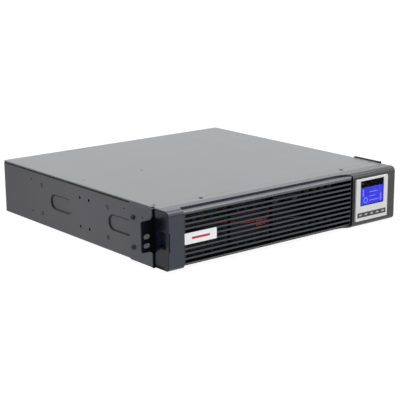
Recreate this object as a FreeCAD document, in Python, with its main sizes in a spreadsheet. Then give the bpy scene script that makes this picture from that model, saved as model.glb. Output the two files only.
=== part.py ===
import FreeCAD, Part
import math
import os
import re
import Sketcher

# Uninterruptible power supply, two rack units high, for a 19-inch rack or a desk.
# +X points right as seen from the front, +Y to the rear and +Z up.
# The origin is on the resting plane, midway between the sides and midway
# between the front of the display and the rear of the sockets.

# The driving dimensions, in millimetres. A name that ends in _x, _y or _z is a place.
DIMENSIONS = {
    # enclosure
    "half_width": 219.0,
    "chassis_height": 84.0,
    "side_height": 81.0,
    "front_face": -218.0,
    "rear_face": 218.0,
    "proud": 3.0,
    "sheet_metal": 1.2,
    "cover_front": -177.0,
    "flange_front": -193.0,
    "flange_inset": 3.0,
    "skirt_height": 11.0,
    "skirt_inset": 3.0,
    "fold_gap": 0.3,
    "seam_gap": 0.4,
    "cover_round": 0.5,
    "bay_margin_x": 3.0,
    "bay_margin_z": 1.6,
    "bay_low_z": 4.4,
    "notch_radius": 3.6,
    "notch_x": 137.0,
    "notch_y": -183.0,
    "cover_screw_x": 210.0,
    "cover_screw_y": -172.8,
    "mark_radius": 1.6,
    "mark_inner_x": 95.0,
    "mark_outer_x": 200.0,
    "mark_y": 14.5,
    "mark_rear_y": 134.0,
    # pressed recesses and holes of the side walls
    "emboss_length": 60.8,
    "emboss_width": 24.0,
    "emboss_z": 43.3,
    "emboss_front_y": -105.5,
    "emboss_rear_y": 49.2,
    "emboss_depth": 2.0,
    "emboss_rim": 0.5,
    "emboss_slope": 50.0,
    "rail_hole_radius": 2.2,
    "rail_hole_y": -14.0,
    "rail_pitch_y": 24.0,
    "rail_pitch_z": 43.2,
    "rail_hole_z": 42.0,
    "inner_screw_front_y": -74.0,
    "inner_screw_rear_y": 104.0,
    "inner_screw_z": 41.0,
    "inner_screw_rise": 22.2,
    "sink_depth": 0.9,
    "sink_radius": 3.3,
    "screw_hole_radius": 1.6,
    "small_hole_radius": 1.3,
    "rear_hole_y": 134.0,
    "rear_hole_z": 42.5,
    "rear_hole_rise": 25.3,
    "front_hole_y": -114.6,
    "front_hole_z": 69.3,
    # rack ears
    "ear_thickness": 2.0,
    "ear_front": -185.8,
    "ear_rear": -130.0,
    "ear_height": 83.0,
    "ear_lift": 3.0,
    "ear_screw_y": -139.0,
    "ear_screw_low_z": 19.0,
    "ear_screw_high_z": 62.0,
    "ear_screw_hole": 2.0,
    "ear_hole_y": -160.5,
    "ear_hole_z": 65.4,
    "ear_root_round": 6.5,
    "ear_tip_round": 2.2,
    "ear_plate_round": 2.0,
    "ear_tip_x": 241.3,
    "tab_low": 24.4,
    "tab_high": 68.2,
    "tab_root_x": 222.6,
    "rack_slot_x": 232.55,
    "rack_slot_low_z": 33.4,
    "rack_slot_pitch": 12.7,
    "rack_slot_length": 10.6,
    "rack_slot_width": 7.0,
    # screws: the head's radius and height, then the shank's length
    "ear_screw_radius": 3.9,
    "ear_screw_height": 2.1,
    "ear_screw_length": 4.6,
    "side_screw_radius": 3.1,
    "side_screw_height": 0.8,
    "side_screw_length": 3.0,
    "cover_screw_radius": 2.6,
    "cover_screw_height": 0.9,
    "cover_screw_length": 4.5,
    "rear_screw_radius": 3.0,
    "rear_screw_height": 1.6,
    "rear_screw_length": 4.0,
    "screw_crown": 0.78,
    "screw_shank": 0.48,
    "cross_reach": 0.5,
    "cross_width": 0.13,
    "cross_floor": 0.45,
    # bezel and louvred panel
    "bezel_half": 220.5,
    "bezel_low": 1.0,
    "bezel_high": 84.0,
    "bezel_depth": 32.0,
    "bezel_low_round": 6.0,
    "bezel_high_round": 8.0,
    "bezel_right_round": 2.5,
    "bezel_left_round": 1.0,
    "bezel_front_wall": 4.5,
    "end_left_x": -206.0,
    "end_wall": 3.0,
    "end_right_wall": 4.0,
    "end_low": 7.0,
    "end_high": 77.0,
    "ledge_gap": 0.3,
    "panel_left": -194.0,
    "panel_right": 127.6,
    "panel_low": 5.0,
    "panel_high": 81.5,
    "panel_depth": 12.0,
    "panel_gap": 0.4,
    "panel_round": 6.5,
    "panel_wall": 3.0,
    "louvre_pitch": 6.98,
    "louvre_gap": 4.4,
    "louvre_low_z": 8.9,
    "louvre_depth": 3.0,
    "louvre_left": -192.4,
    "louvre_right": 122.5,
    "louvre_back_inset": 2.0,
    "rib_first_x": -112.0,
    "rib_pitch": 78.0,
    "rib_depth": 5.5,
    "rib_width": 1.8,
    "plate_left": -193.4,
    "plate_right": -138.0,
    "plate_low": 34.4,
    "plate_high": 50.0,
    "plate_gap": 0.2,
    "plate_seat": 1.0,
    "plate_proud": 0.4,
    "plate_round": 0.9,
    "grip_depth": 10.0,
    "shallow_grip_depth": 3.0,
    "grip_front_y": -212.2,
    "grip_rear_y": -193.0,
    "grip_low": 31.0,
    "grip_high": 55.0,
    "slit_left_x": -219.5,
    "slit_width": 1.5,
    "slit_low": 28.2,
    "slit_high": 54.5,
    "slit_depth": 4.0,
    # display module
    "dial_x": 166.1,
    "dial_z": 42.5,
    "display_width": 68.8,
    "display_height": 65.0,
    "display_clearance": 0.3,
    "display_corner": 2.2,
    "display_edge": 0.7,
    "display_wall": 1.4,
    "display_hollow": 1.9,
    "back_margin": 1.6,
    "back_thickness": 0.6,
    "back_round": 1.0,
    "window_width": 50.7,
    "window_low": 33.0,
    "window_high": 71.8,
    "lens_gap": 0.1,
    "lens_front": 0.15,
    "lens_back": 0.8,
    "lcd_margin": 1.4,
    "lcd_front": 0.85,
    "lcd_back": 1.95,
    "led_inset": 5.0,
    "led_drop": 4.2,
    "led_radius": 0.9,
    "led_length": 0.5,
    "led_hole": 1.0,
    "strip_low": 15.3,
    "strip_high": 22.9,
    "strip_width": 62.0,
    "strip_gap": 0.2,
    "strip_front": 0.3,
    "strip_back": 0.8,
    "key_pitch": 12.2,
    "key_width": 9.0,
    "key_height": 4.0,
    "key_gap": 0.2,
    "key_front": 0.05,
    "key_back": 0.95,
    "key_rim": 0.6,
    "key_rim_depth": 0.3,
    "key_round": 0.9,
    "key_edge": 0.2,
    "boss_radius": 30.6,
    "boss_gap": 0.5,
    "boss_opening": 34.6,
    "boss_length": 20.0,
    "boss_wall": 1.8,
    "boss_floor": 1.2,
    "boss_rim_width": 2.4,
    "boss_rim_depth": 1.6,
    "boss_rim_y": 5.1,
    "disc_gap": 2.2,
    "disc_y": 5.0,
    "board_thickness": 1.6,
    "chip_half": 7.0,
    "chip_rise": 2.0,
    "chip_depth": 1.4,
    "header_half": 9.0,
    "header_drop": 14.0,
    "header_height": 6.0,
    "header_depth": 5.4,
    # battery bay and tray
    "tray_left": -187.0,
    "tray_right": 121.0,
    "tray_front": -204.0,
    "tray_rear": 15.2,
    "tray_low": 5.0,
    "tray_high": 76.0,
    "tray_wall_high": 64.0,
    "vent_inset": 8.0,
    "vent_width": 10.0,
    "vent_height": 12.0,
    "vent_pitch": 15.6,
    "vent_low_z": 10.0,
    "vent_high_z": 60.0,
    "grommet_radius": 3.2,
    "red_grommet_x": -165.0,
    "red_grommet_z": 52.0,
    "black_grommet_x": 70.0,
    "black_grommet_z": 33.0,
    "battery_length": 150.5,
    "battery_depth": 98.0,
    "battery_height": 65.0,
    "battery_left_x": -185.3,
    "battery_right_x": -33.3,
    "battery_front_y": -196.0,
    "battery_row_pitch": 108.0,
    "battery_gap": 0.1,
    "battery_round": 1.6,
    "lid_depth": 9.0,
    "lid_step": 0.8,
    "terminal_inset": 13.0,
    "terminal_half": 4.0,
    "terminal_depth": 1.2,
    "terminal_low_z": 43.0,
    "terminal_high_z": 51.0,
    "seat_margin_x": 2.0,
    "seat_margin_z": 3.0,
    "seat_depth": 3.0,
    "blade_half": 0.4,
    "blade_length": 7.4,
    "blade_inset": 0.8,
    "bar_start": 40.0,
    "bar_width": 22.0,
    "bar_gap": 0.3,
    "link_left": -58.0,
    "link_right": -30.0,
    "link_low_z": 35.5,
    "link_high_z": 45.5,
    "link_depth": 4.6,
    "link_round": 0.8,
    "link_split": 1.2,
    "link_split_depth": 1.4,
    "wire_radius": 1.5,
    "wire_gap": 0.5,
    "pull_half": 24.0,
    "pull_depth": 1.6,
    "pull_low_z": 58.0,
    "pull_high_z": 70.0,
    "pull_slot_length": 30.0,
    "pull_slot_width": 6.0,
    "pull_round": 3.0,
    "mate_x": -44.0,
    "mate_z": 38.0,
    "mate_pitch": 16.0,
    "plug_half_width": 16.0,
    "plug_half_height": 8.0,
    "plug_length": 12.0,
    "plug_bore_half": 4.4,
    "plug_bore_rise": 4.0,
    "plug_bore_depth": 9.0,
    "socket_half_width": 20.0,
    "socket_half_height": 12.0,
    "socket_front": 12.4,
    "socket_back": 27.0,
    "contact_half": 3.0,
    "contact_rise": 2.6,
    "contact_front": 4.5,
    "contact_back": 13.0,
    "bay_gap": 1.8,
    "bay_left_gap": 1.0,
    "bay_top_gap": 1.0,
    "slide_width": 12.0,
    "slide_inset": 6.0,
    "slide_middle_x": -40.0,
    "slide_gap": 0.3,
    # electronics
    "main_left": -208.0,
    "main_right": 112.0,
    "main_front": 54.0,
    "main_rear": 186.0,
    "main_low": 8.0,
    "leg_inset": 8.0,
    "leg_radius": 3.0,
    "card_x": 132.0,
    "card_front": -150.0,
    "card_rear": 20.0,
    "card_low": 6.0,
    "card_high": 66.0,
    "card_foot_left": 124.2,
    "card_foot_right": 136.0,
    "card_chip_y": -80.0,
    "card_chip_z": 38.0,
    "card_chip_half": 10.0,
    "card_chip_depth": 1.8,
    "card_header_y": -137.0,
    "card_header_z": 27.0,
    "card_header_half": 9.0,
    "card_header_rise": 3.0,
    "card_header_depth": 6.4,
    "card_relay_y": -26.0,
    "card_relay_z": 37.5,
    "card_relay_half": 14.0,
    "card_relay_rise": 7.5,
    "card_relay_depth": 15.4,
    "ribbon_turn_x": 158.0,
    "ribbon_end_x": 163.0,
    "ribbon_start_y": -138.0,
    "ribbon_end_y": -180.0,
    "ribbon_thickness": 1.2,
    "ribbon_low_z": 24.2,
    "ribbon_width": 5.6,
    "sink_left": -205.0,
    "sink_pitch": 72.0,
    "sink_width": 60.0,
    "sink_front": 64.0,
    "sink_rear": 172.0,
    "sink_low": 24.0,
    "sink_base": 6.0,
    "sink_high": 68.0,
    "sink_foot_inset": 26.0,
    "sink_foot_width": 8.0,
    "fin_pitch": 6.4,
    "fin_thickness": 2.4,
    "package_front": 70.0,
    "package_pitch": 26.0,
    "package_length": 16.0,
    "package_thickness": 5.0,
    "can_left_x": -52.0,
    "can_pitch_x": 34.0,
    "can_front_y": 80.0,
    "can_pitch_y": 36.0,
    "can_radius": 15.0,
    "can_height": 46.0,
    "bead_radius": 15.4,
    "bead_wire": 1.0,
    "bead_z": 48.0,
    "coil_x": 30.0,
    "coil_z": 34.0,
    "coil_front_y": 84.0,
    "coil_pitch": 56.0,
    "coil_radius": 15.0,
    "coil_wire": 8.0,
    "coil_base_half": 12.0,
    "coil_base_high": 16.0,
    "relay_left": 72.0,
    "relay_width": 16.0,
    "relay_front": 66.0,
    "relay_length": 22.0,
    "relay_pitch": 28.0,
    "relay_high": 30.0,
    "relay_round": 0.8,
    # rear
    "rear_screw_x": 212.0,
    "rear_screw_low_z": 10.0,
    "rear_screw_high_z": 74.0,
    "middle_screw_x": -76.0,
    "rear_fit": 0.1,
    "port_gap": 0.3,
    "fan_size": 60.0,
    "fan_depth": 25.0,
    "fan_left_x": -180.0,
    "fan_right_x": -112.0,
    "fan_z": 42.0,
    "fan_hole_radius": 28.0,
    "fan_bolt": 25.0,
    "fan_bolt_hole": 2.0,
    "fan_round": 3.0,
    "spider_radius": 12.0,
    "spider_depth": 3.0,
    "arm_reach": 28.6,
    "arm_half": 1.5,
    "arm_depth": 2.4,
    "hub_radius": 13.0,
    "rotor_depth": 18.0,
    "rotor_y": 3.6,
    "blade_root": 11.0,
    "blade_tip_gap": 1.0,
    "blade_chord": 17.0,
    "blade_thickness": 1.3,
    "blade_pitch": 52.0,
    "shaft_radius": 1.5,
    "shaft_depth": 3.0,
    "guard_wire": 0.8,
    "guard_y": 1.1,
    "guard_first": 8.0,
    "guard_pitch": 7.0,
    "inlet_x": -48.0,
    "inlet_z": 26.0,
    "inlet_half_width": 14.2,
    "inlet_half_height": 11.2,
    "inlet_gap": 0.4,
    "inlet_depth": 24.0,
    "inlet_flange_width": 24.0,
    "inlet_flange_height": 13.0,
    "inlet_flange": 2.6,
    "inlet_round": 5.0,
    "cavity_half_width": 12.3,
    "cavity_half_height": 8.6,
    "cavity_depth": 18.6,
    "corner_cut": 4.0,
    "pin_pitch": 7.0,
    "pin_half": 1.0,
    "pin_height": 4.0,
    "pin_length": 15.0,
    "pin_root": 0.2,
    "outlet_x": 32.0,
    "outlet_pitch_x": 34.0,
    "outlet_low_z": 24.0,
    "outlet_high_z": 60.0,
    "outlet_half_width": 17.0,
    "outlet_half_height": 16.5,
    "outlet_gap": 0.5,
    "outlet_depth": 22.0,
    "outlet_base": 0.2,
    "outlet_rim": 2.0,
    "outlet_rim_depth": 1.8,
    "outlet_rim_round": 2.0,
    "moat_half_width": 12.8,
    "moat_half_height": 8.9,
    "moat_depth": 16.0,
    "core_half_width": 9.2,
    "core_half_height": 5.3,
    "core_depth": 14.0,
    "slit_pitch": 5.6,
    "slit_drop": 2.2,
    "slit_rise": 1.6,
    "slit_half_width": 1.1,
    "slit_half_height": 2.2,
    "outlet_slit_depth": 12.0,
    "breaker_z": 62.0,
    "breaker_hole": 6.3,
    "breaker_half": 8.0,
    "breaker_front": 28.0,
    "breaker_back": 3.0,
    "breaker_neck": 6.0,
    "breaker_nut": 8.2,
    "breaker_nut_depth": 1.2,
    "breaker_bore": 4.1,
    "breaker_bore_start": 5.0,
    "key_stem_radius": 3.8,
    "key_stem_start": 2.4,
    "key_stem_round": 0.8,
    "serial_left": 133.0,
    "serial_right": 160.0,
    "serial_low": 12.5,
    "serial_high": 25.5,
    "serial_depth": 10.0,
    "serial_core_inset": 5.0,
    "serial_core_drop": 2.5,
    "serial_core_depth": 1.8,
    "serial_pin": 0.6,
    "serial_pin_pitch": 2.8,
    "serial_pin_length": 3.0,
    "serial_row_low": 17.4,
    "serial_row_high": 20.8,
    "data_left": 166.3,
    "data_right": 178.7,
    "data_low": 12.3,
    "data_high": 24.7,
    "data_depth": 16.0,
    "data_wall": 2.0,
    "data_tongue_inset": 3.5,
    "data_tongue_drop": 4.6,
    "data_cavity": 9.0,
    "network_left": 184.3,
    "network_right": 205.7,
    "network_low": 10.8,
    "network_high": 26.2,
    "network_depth": 18.0,
    "network_inset": 4.7,
    "network_drop": 3.2,
    "network_cavity": 13.0,
    "port_proud": 1.0,
    "slot_left": 145.0,
    "slot_right": 197.0,
    "slot_low": 48.0,
    "slot_high": 72.0,
    "blank_left": 136.0,
    "blank_right": 206.0,
    "blank_low": 46.0,
    "blank_high": 74.0,
    "blank_depth": 1.0,
    "blank_round": 1.5,
    "blank_screw_inset": 5.5,
}

NODES = []
PLANE_SIGN = {"XY_Plane": 1, "XZ_Plane": -1, "YZ_Plane": 1}
ACROSS = FreeCAD.Vector(1, 0, 0)
ALONG = FreeCAD.Vector(0, 1, 0)
TOWARDS = {
    "+x": FreeCAD.Rotation(ALONG, 90),
    "-x": FreeCAD.Rotation(ALONG, -90),
    "+y": FreeCAD.Rotation(ACROSS, -90),
    "-y": FreeCAD.Rotation(ACROSS, 90),
    "+z": FreeCAD.Rotation(),
}

doc = FreeCAD.newDocument("power_supply")
sheet = doc.addObject("Spreadsheet::Sheet", "Dims")
for row, (alias, size) in enumerate(DIMENSIONS.items(), start=1):
    sheet.set("A%d" % row, alias)
    sheet.set("B%d" % row, str(size))
    sheet.setAlias("B%d" % row, alias)
doc.recompute()


# Formulas: text such as "half_width - 2 * sheet_metal".

def formula(text):
    """Write the sheet's name in front of each of its aliases."""
    def with_sheet(word):
        return "Dims." + word.group() if word.group() in DIMENSIONS else word.group()
    return re.sub(r"[a-z][a-z_]*", with_sheet, text)


def value(text):
    """The number that a formula gives."""
    return float(sheet.evalExpression(formula(text)))


def bind(thing, name, text):
    thing.setExpression(name, formula(text))


def place(thing, x, y, z, towards="+z"):
    """Turn a piece so that its own +Z points towards a direction, and bind its place."""
    thing.Placement = FreeCAD.Placement(FreeCAD.Vector(), TOWARDS[towards])
    for axis, text in zip("xyz", (x, y, z)):
        bind(thing, "Placement.Base." + axis, text)


# Part pieces

def block(name, x, y, z):
    """A box. Each of x, y and z is a pair of formulas: its low and its high plane."""
    piece = doc.addObject("Part::Box", name)
    for side, (low, high) in zip(("Length", "Width", "Height"), (x, y, z)):
        bind(piece, side, "(%s) - (%s)" % (high, low))
    place(piece, x[0], y[0], z[0])
    return piece


def rod(name, radius, length, x, y, z, towards="+z"):
    """A cylinder that starts at x, y, z."""
    piece = doc.addObject("Part::Cylinder", name)
    bind(piece, "Radius", radius)
    bind(piece, "Height", length)
    place(piece, x, y, z, towards)
    return piece


def cone(name, radius, end_radius, length, x, y, z, towards="+z"):
    piece = doc.addObject("Part::Cone", name)
    bind(piece, "Radius1", radius)
    bind(piece, "Radius2", end_radius)
    bind(piece, "Height", length)
    place(piece, x, y, z, towards)
    return piece


def ring(name, radius, wire, x, y, z, towards="+z"):
    piece = doc.addObject("Part::Torus", name)
    bind(piece, "Radius1", radius)
    bind(piece, "Radius2", wire)
    place(piece, x, y, z, towards)
    return piece


def join(name, pieces):
    piece = doc.addObject("Part::MultiFuse", name)
    piece.Shapes = pieces
    return piece


def cut(name, base, tools):
    """Take the tools away from a base."""
    piece = doc.addObject("Part::Cut", name)
    piece.Base = base
    piece.Tool = tools[0] if len(tools) == 1 else join(name + "_tools", tools)
    return piece


def common(name, base, tool):
    piece = doc.addObject("Part::Common", name)
    piece.Base = base
    piece.Tool = tool
    return piece


def group(name, pieces):
    """Several separate solids in one node."""
    piece = doc.addObject("Part::Compound", name)
    piece.Links = pieces
    return piece


def soften(name, base, radius, chosen):
    """Round the edges of a Part piece that chosen(edge) picks."""
    doc.recompute()
    piece = doc.addObject("Part::Fillet", name)
    piece.Base = base
    size = value(radius)
    edges = enumerate(base.Shape.Edges, start=1)
    piece.Edges = [(number, size, size) for number, edge in edges if chosen(edge)]
    return piece


def keep(piece, label=None):
    """Mark a finished sub-part, which becomes a node of its own."""
    piece.Label = label or piece.Name
    NODES.append(piece)
    return piece


# Picking edges

def runs(edge, axis):
    """True if an edge is straight and runs along x, y or z."""
    if edge.Curve.TypeId != "Part::GeomLine":
        return False
    return abs(getattr(edge.tangentAt(edge.FirstParameter), axis)) > 0.999


def lies(edge, **places):
    """True if an edge lies wholly at the given x, y or z, each a formula."""
    box = edge.BoundBox
    for axis, text in places.items():
        target = value(text)
        low = getattr(box, axis.upper() + "Min")
        high = getattr(box, axis.upper() + "Max")
        if abs(low - target) > 0.01 or abs(high - target) > 0.01:
            return False
    return True


# PartDesign bodies

def body(name):
    return doc.addObject("PartDesign::Body", name)


def sketch(owner, plane, at):
    """A sketch parallel to one of the body's origin planes, at a place along its axis."""
    drawing = owner.newObject("Sketcher::SketchObject", owner.Name + "_sketch")
    support = [part for part in owner.Origin.OriginFeatures if part.Role == plane][0]
    drawing.AttachmentSupport = (support, [""])
    drawing.MapMode = "FlatFace"
    bind(drawing, "AttachmentOffset.Base.z", "%d * (%s)" % (PLANE_SIGN[plane], at))
    return drawing


def pin(drawing, line, point, u, v):
    """Hold a point of the sketch at two formulas."""
    for kind, text in (("DistanceX", u), ("DistanceY", v)):
        rule = Sketcher.Constraint(kind, -1, 1, line, point, value(text))
        number = drawing.addConstraint(rule)
        drawing.setExpression("Constraints[%d]" % number, formula(text))


def polygon(drawing, corners):
    """A closed outline through corners, each a pair of formulas."""
    points = [FreeCAD.Vector(value(u), value(v), 0) for u, v in corners]
    first = drawing.GeometryCount
    for start, end in zip(points, points[1:] + points[:1]):
        drawing.addGeometry(Part.LineSegment(start, end), False)
    for number, (u, v) in enumerate(corners):
        before = first + (number - 1) % len(corners)
        joint = Sketcher.Constraint("Coincident", before, 2, first + number, 1)
        drawing.addConstraint(joint)
        pin(drawing, first + number, 1, u, v)


def rectangle(drawing, u, v):
    """A rectangle between a pair of formulas on each axis of the sketch."""
    polygon(drawing, [(u[0], v[0]), (u[1], v[0]), (u[1], v[1]), (u[0], v[1])])


def circle(drawing, u, v, radius):
    middle = FreeCAD.Vector(value(u), value(v), 0)
    up = FreeCAD.Vector(0, 0, 1)
    line = drawing.addGeometry(Part.Circle(middle, up, value(radius)), False)
    pin(drawing, line, 3, u, v)
    number = drawing.addConstraint(Sketcher.Constraint("Radius", line, value(radius)))
    drawing.setExpression("Constraints[%d]" % number, formula(radius))


def slot(drawing, u, v, length, width):
    """A slot along the sketch's first axis, with round ends."""
    radius = "(%s) / 2" % width
    reach = "((%s) - (%s)) / 2" % (length, width)
    middle = FreeCAD.Vector(value(u), value(v), 0)
    side = FreeCAD.Vector(value(reach), 0, 0)
    rise = FreeCAD.Vector(0, value(radius), 0)
    up = FreeCAD.Vector(0, 0, 1)
    quarter = math.pi / 2
    first = drawing.GeometryCount
    right = Part.Circle(middle + side, up, value(radius))
    left = Part.Circle(middle - side, up, value(radius))
    drawing.addGeometry(Part.LineSegment(middle - side - rise, middle + side - rise), False)
    drawing.addGeometry(Part.ArcOfCircle(right, -quarter, quarter), False)
    drawing.addGeometry(Part.LineSegment(middle + side + rise, middle - side + rise), False)
    drawing.addGeometry(Part.ArcOfCircle(left, quarter, 3 * quarter), False)
    for number in range(4):
        after = first + (number + 1) % 4
        rule = Sketcher.Constraint("Tangent", first + number, 2, after, 1)
        drawing.addConstraint(rule)
    drawing.addConstraint(Sketcher.Constraint("Equal", first + 1, first + 3))
    pin(drawing, first + 1, 3, "(%s) + %s" % (u, reach), v)
    pin(drawing, first + 3, 3, "(%s) - %s" % (u, reach), v)
    rule = Sketcher.Constraint("Radius", first + 1, value(radius))
    number = drawing.addConstraint(rule)
    drawing.setExpression("Constraints[%d]" % number, formula(radius))


def plane_sign(drawing):
    return PLANE_SIGN[drawing.AttachmentSupport[0][0].Role]


def pad(owner, drawing, length, towards=1):
    """Add material from a sketch, towards +1 or -1 along the row's axis."""
    feature = owner.newObject("PartDesign::Pad", owner.Name + "_pad")
    feature.Profile = drawing
    bind(feature, "Length", length)
    feature.Reversed = towards * plane_sign(drawing) < 0
    drawing.Visibility = False
    return feature


def pocket(owner, drawing, length, towards=1):
    """Take material away from a sketch, towards +1 or -1 along the row's axis."""
    feature = owner.newObject("PartDesign::Pocket", owner.Name + "_pocket")
    feature.Profile = drawing
    bind(feature, "Length", length)
    feature.Reversed = towards * plane_sign(drawing) > 0
    return feature


def repeat(owner, feature, axis, length, count):
    """Repeat a feature along the body's own x, y or z axis."""
    doc.recompute()
    pattern = owner.newObject("PartDesign::LinearPattern", owner.Name + "_row")
    role = axis.upper() + "_Axis"
    line = [part for part in owner.Origin.OriginFeatures if part.Role == role][0]
    pattern.Originals = [feature]
    pattern.Direction = (line, [""])
    bind(pattern, "Length", length)
    pattern.Occurrences = count
    owner.Tip = pattern
    return pattern


def round_edges(owner, radius, chosen):
    """Round the edges of the body's last feature that chosen(edge) picks."""
    doc.recompute()
    base = owner.Tip
    edges = enumerate(base.Shape.Edges, start=1)
    names = ["Edge%d" % number for number, edge in edges if chosen(edge)]
    feature = owner.newObject("PartDesign::Fillet", owner.Name + "_round")
    feature.Base = (base, names)
    bind(feature, "Radius", radius)
    return feature


def widened(pair, by):
    """A pair of formulas, moved outwards at both ends."""
    return ("%s - (%s)" % (pair[0], by), "%s + %s" % (pair[1], by))


def around(middle, by):
    """A pair of formulas on both sides of a middle."""
    return widened((middle, middle), by)


def plate(name, x, y, z):
    """A body that is one rectangular pad, standing across the Y axis."""
    piece = body(name)
    outline = sketch(piece, "XZ_Plane", y[0])
    rectangle(outline, x, z)
    pad(piece, outline, "(%s) - (%s)" % (y[1], y[0]))
    return piece


def mirrored(side, text):
    """A formula on the right side of the object, or its mirror on the left."""
    return "%d * (%s)" % (side, text)


def span(side, near, far):
    """A pair of formulas at the right, or mirrored to the left, with the low one first."""
    pair = (mirrored(side, near), mirrored(side, far))
    return pair if side > 0 else pair[::-1]


# Enclosure

def chassis_base():
    """Folded steel floor and walls, with pressed recesses that stiffen the walls."""
    shell = body("chassis_base")
    outline = sketch(shell, "XZ_Plane", "ear_front + sheet_metal")
    inside = "half_width - sheet_metal"
    polygon(outline, [
        ("-half_width", "0"), ("half_width", "0"),
        ("half_width", "side_height"), (inside, "side_height"),
        (inside, "sheet_metal"), ("-(%s)" % inside, "sheet_metal"),
        ("-(%s)" % inside, "side_height"), ("-half_width", "side_height"),
    ])
    pad(shell, outline, "rear_face - ear_front - sheet_metal")
    round_edges(shell, "sheet_metal", lambda edge: runs(edge, "y") and lies(edge, z="0"))
    for side in (-1, 1):
        wall_recesses(shell, side)
        wall_holes(shell, side)
    return keep(shell)


def wall_recesses(shell, side):
    """Press two oblongs into a wall. Their rims slope down to a flat floor."""
    swell = sketch(shell, "YZ_Plane", mirrored(side, "half_width - sheet_metal"))
    dish = sketch(shell, "YZ_Plane", mirrored(side, "half_width"))
    for middle in ("emboss_front_y", "emboss_rear_y"):
        slot(swell, middle, "emboss_z", "emboss_length - 2 * emboss_rim",
             "emboss_width - 2 * emboss_rim")
        slot(dish, middle, "emboss_z", "emboss_length", "emboss_width")
    pad(shell, swell, "emboss_depth", -side)
    bind(pocket(shell, dish, "emboss_depth", -side), "TaperAngle", "-emboss_slope")


INNER_SCREWS = [(along, "inner_screw_z + %d * inner_screw_rise" % row)
                for along in ("inner_screw_front_y", "inner_screw_rear_y") for row in (-1, 1)]


def wall_holes(shell, side):
    """Holes for rails, the ear's screws and the screws of the inner walls."""
    through = sketch(shell, "YZ_Plane", mirrored(side, "half_width"))
    for row in (-1, 1):
        rail_z = "rail_hole_z + %d * rail_pitch_z / 2" % row
        for column in (-1, 1):
            rail_y = "rail_hole_y + %d * rail_pitch_y / 2" % column
            circle(through, rail_y, rail_z, "rail_hole_radius")
        rear_z = "rear_hole_z + %d * rear_hole_rise" % row
        circle(through, "rear_hole_y", rear_z, "small_hole_radius")
    for height in ("ear_screw_low_z", "ear_screw_high_z"):
        circle(through, "ear_screw_y", height, "ear_screw_hole")
    for along, height in INNER_SCREWS:
        circle(through, along, height, "screw_hole_radius")
    circle(through, "front_hole_y", "front_hole_z", "small_hole_radius")
    pocket(shell, through, "sheet_metal + 1", -side)
    sinks = sketch(shell, "YZ_Plane", mirrored(side, "half_width"))
    for along, height in INNER_SCREWS:
        circle(sinks, along, height, "sink_radius")
    pocket(shell, sinks, "sink_depth", -side)


def top_cover():
    """Flat lid with skirts inside the walls, screws near its front corners and three marks."""
    lid = body("top_cover")
    top = sketch(lid, "XY_Plane", "chassis_height - sheet_metal")
    rectangle(top, ("-half_width", "half_width"), ("cover_front", "rear_face"))
    pad(lid, top, "sheet_metal")
    round_edges(lid, "cover_round", lambda edge: lies(edge, z="chassis_height"))
    skirts = sketch(lid, "XY_Plane", "chassis_height - sheet_metal")
    for side in (-1, 1):
        across = span(side, "half_width - 2 * sheet_metal - fold_gap",
                      "half_width - sheet_metal - fold_gap")
        rectangle(skirts, across, ("cover_front", "rear_face - skirt_inset"))
    pad(lid, skirts, "skirt_height", -1)
    openings = sketch(lid, "XY_Plane", "chassis_height")
    for side in (-1, 1):
        circle(openings, mirrored(side, "cover_screw_x"), "cover_screw_y", "screw_hole_radius")
    for mark_x, mark_y in (("-mark_outer_x", "mark_y"), ("-mark_inner_x", "mark_y"),
                           ("mark_outer_x", "mark_rear_y")):
        circle(openings, mark_x, mark_y, "mark_radius")
    pocket(lid, openings, "sheet_metal", -1)
    return keep(lid)


TRAY_OPENING = (("tray_left - bay_margin_x", "tray_right + bay_margin_x"),
                ("bay_low_z", "tray_high + bay_margin_z"))


def front_frame():
    """Steel plate behind the bezel, open for the battery tray, with a flange on top."""
    frame = plate("front_frame", ("-half_width", "half_width"),
                  ("ear_front", "ear_front + sheet_metal"), ("0", "chassis_height"))
    flange = sketch(frame, "XY_Plane", "chassis_height")
    rectangle(flange, ("-half_width + flange_inset", "half_width - flange_inset"),
              ("flange_front", "cover_front - seam_gap"))
    pad(frame, flange, "sheet_metal", -1)
    holes = sketch(frame, "XZ_Plane", "ear_front")
    rectangle(holes, *TRAY_OPENING)
    circle(holes, "dial_x", "dial_z", "boss_opening")
    pocket(frame, holes, "sheet_metal", 1)
    thumb = sketch(frame, "XY_Plane", "chassis_height")
    for side in (-1, 1):
        circle(thumb, mirrored(side, "notch_x"), "notch_y", "notch_radius")
    pocket(frame, thumb, "sheet_metal", -1)
    return keep(frame)


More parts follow.
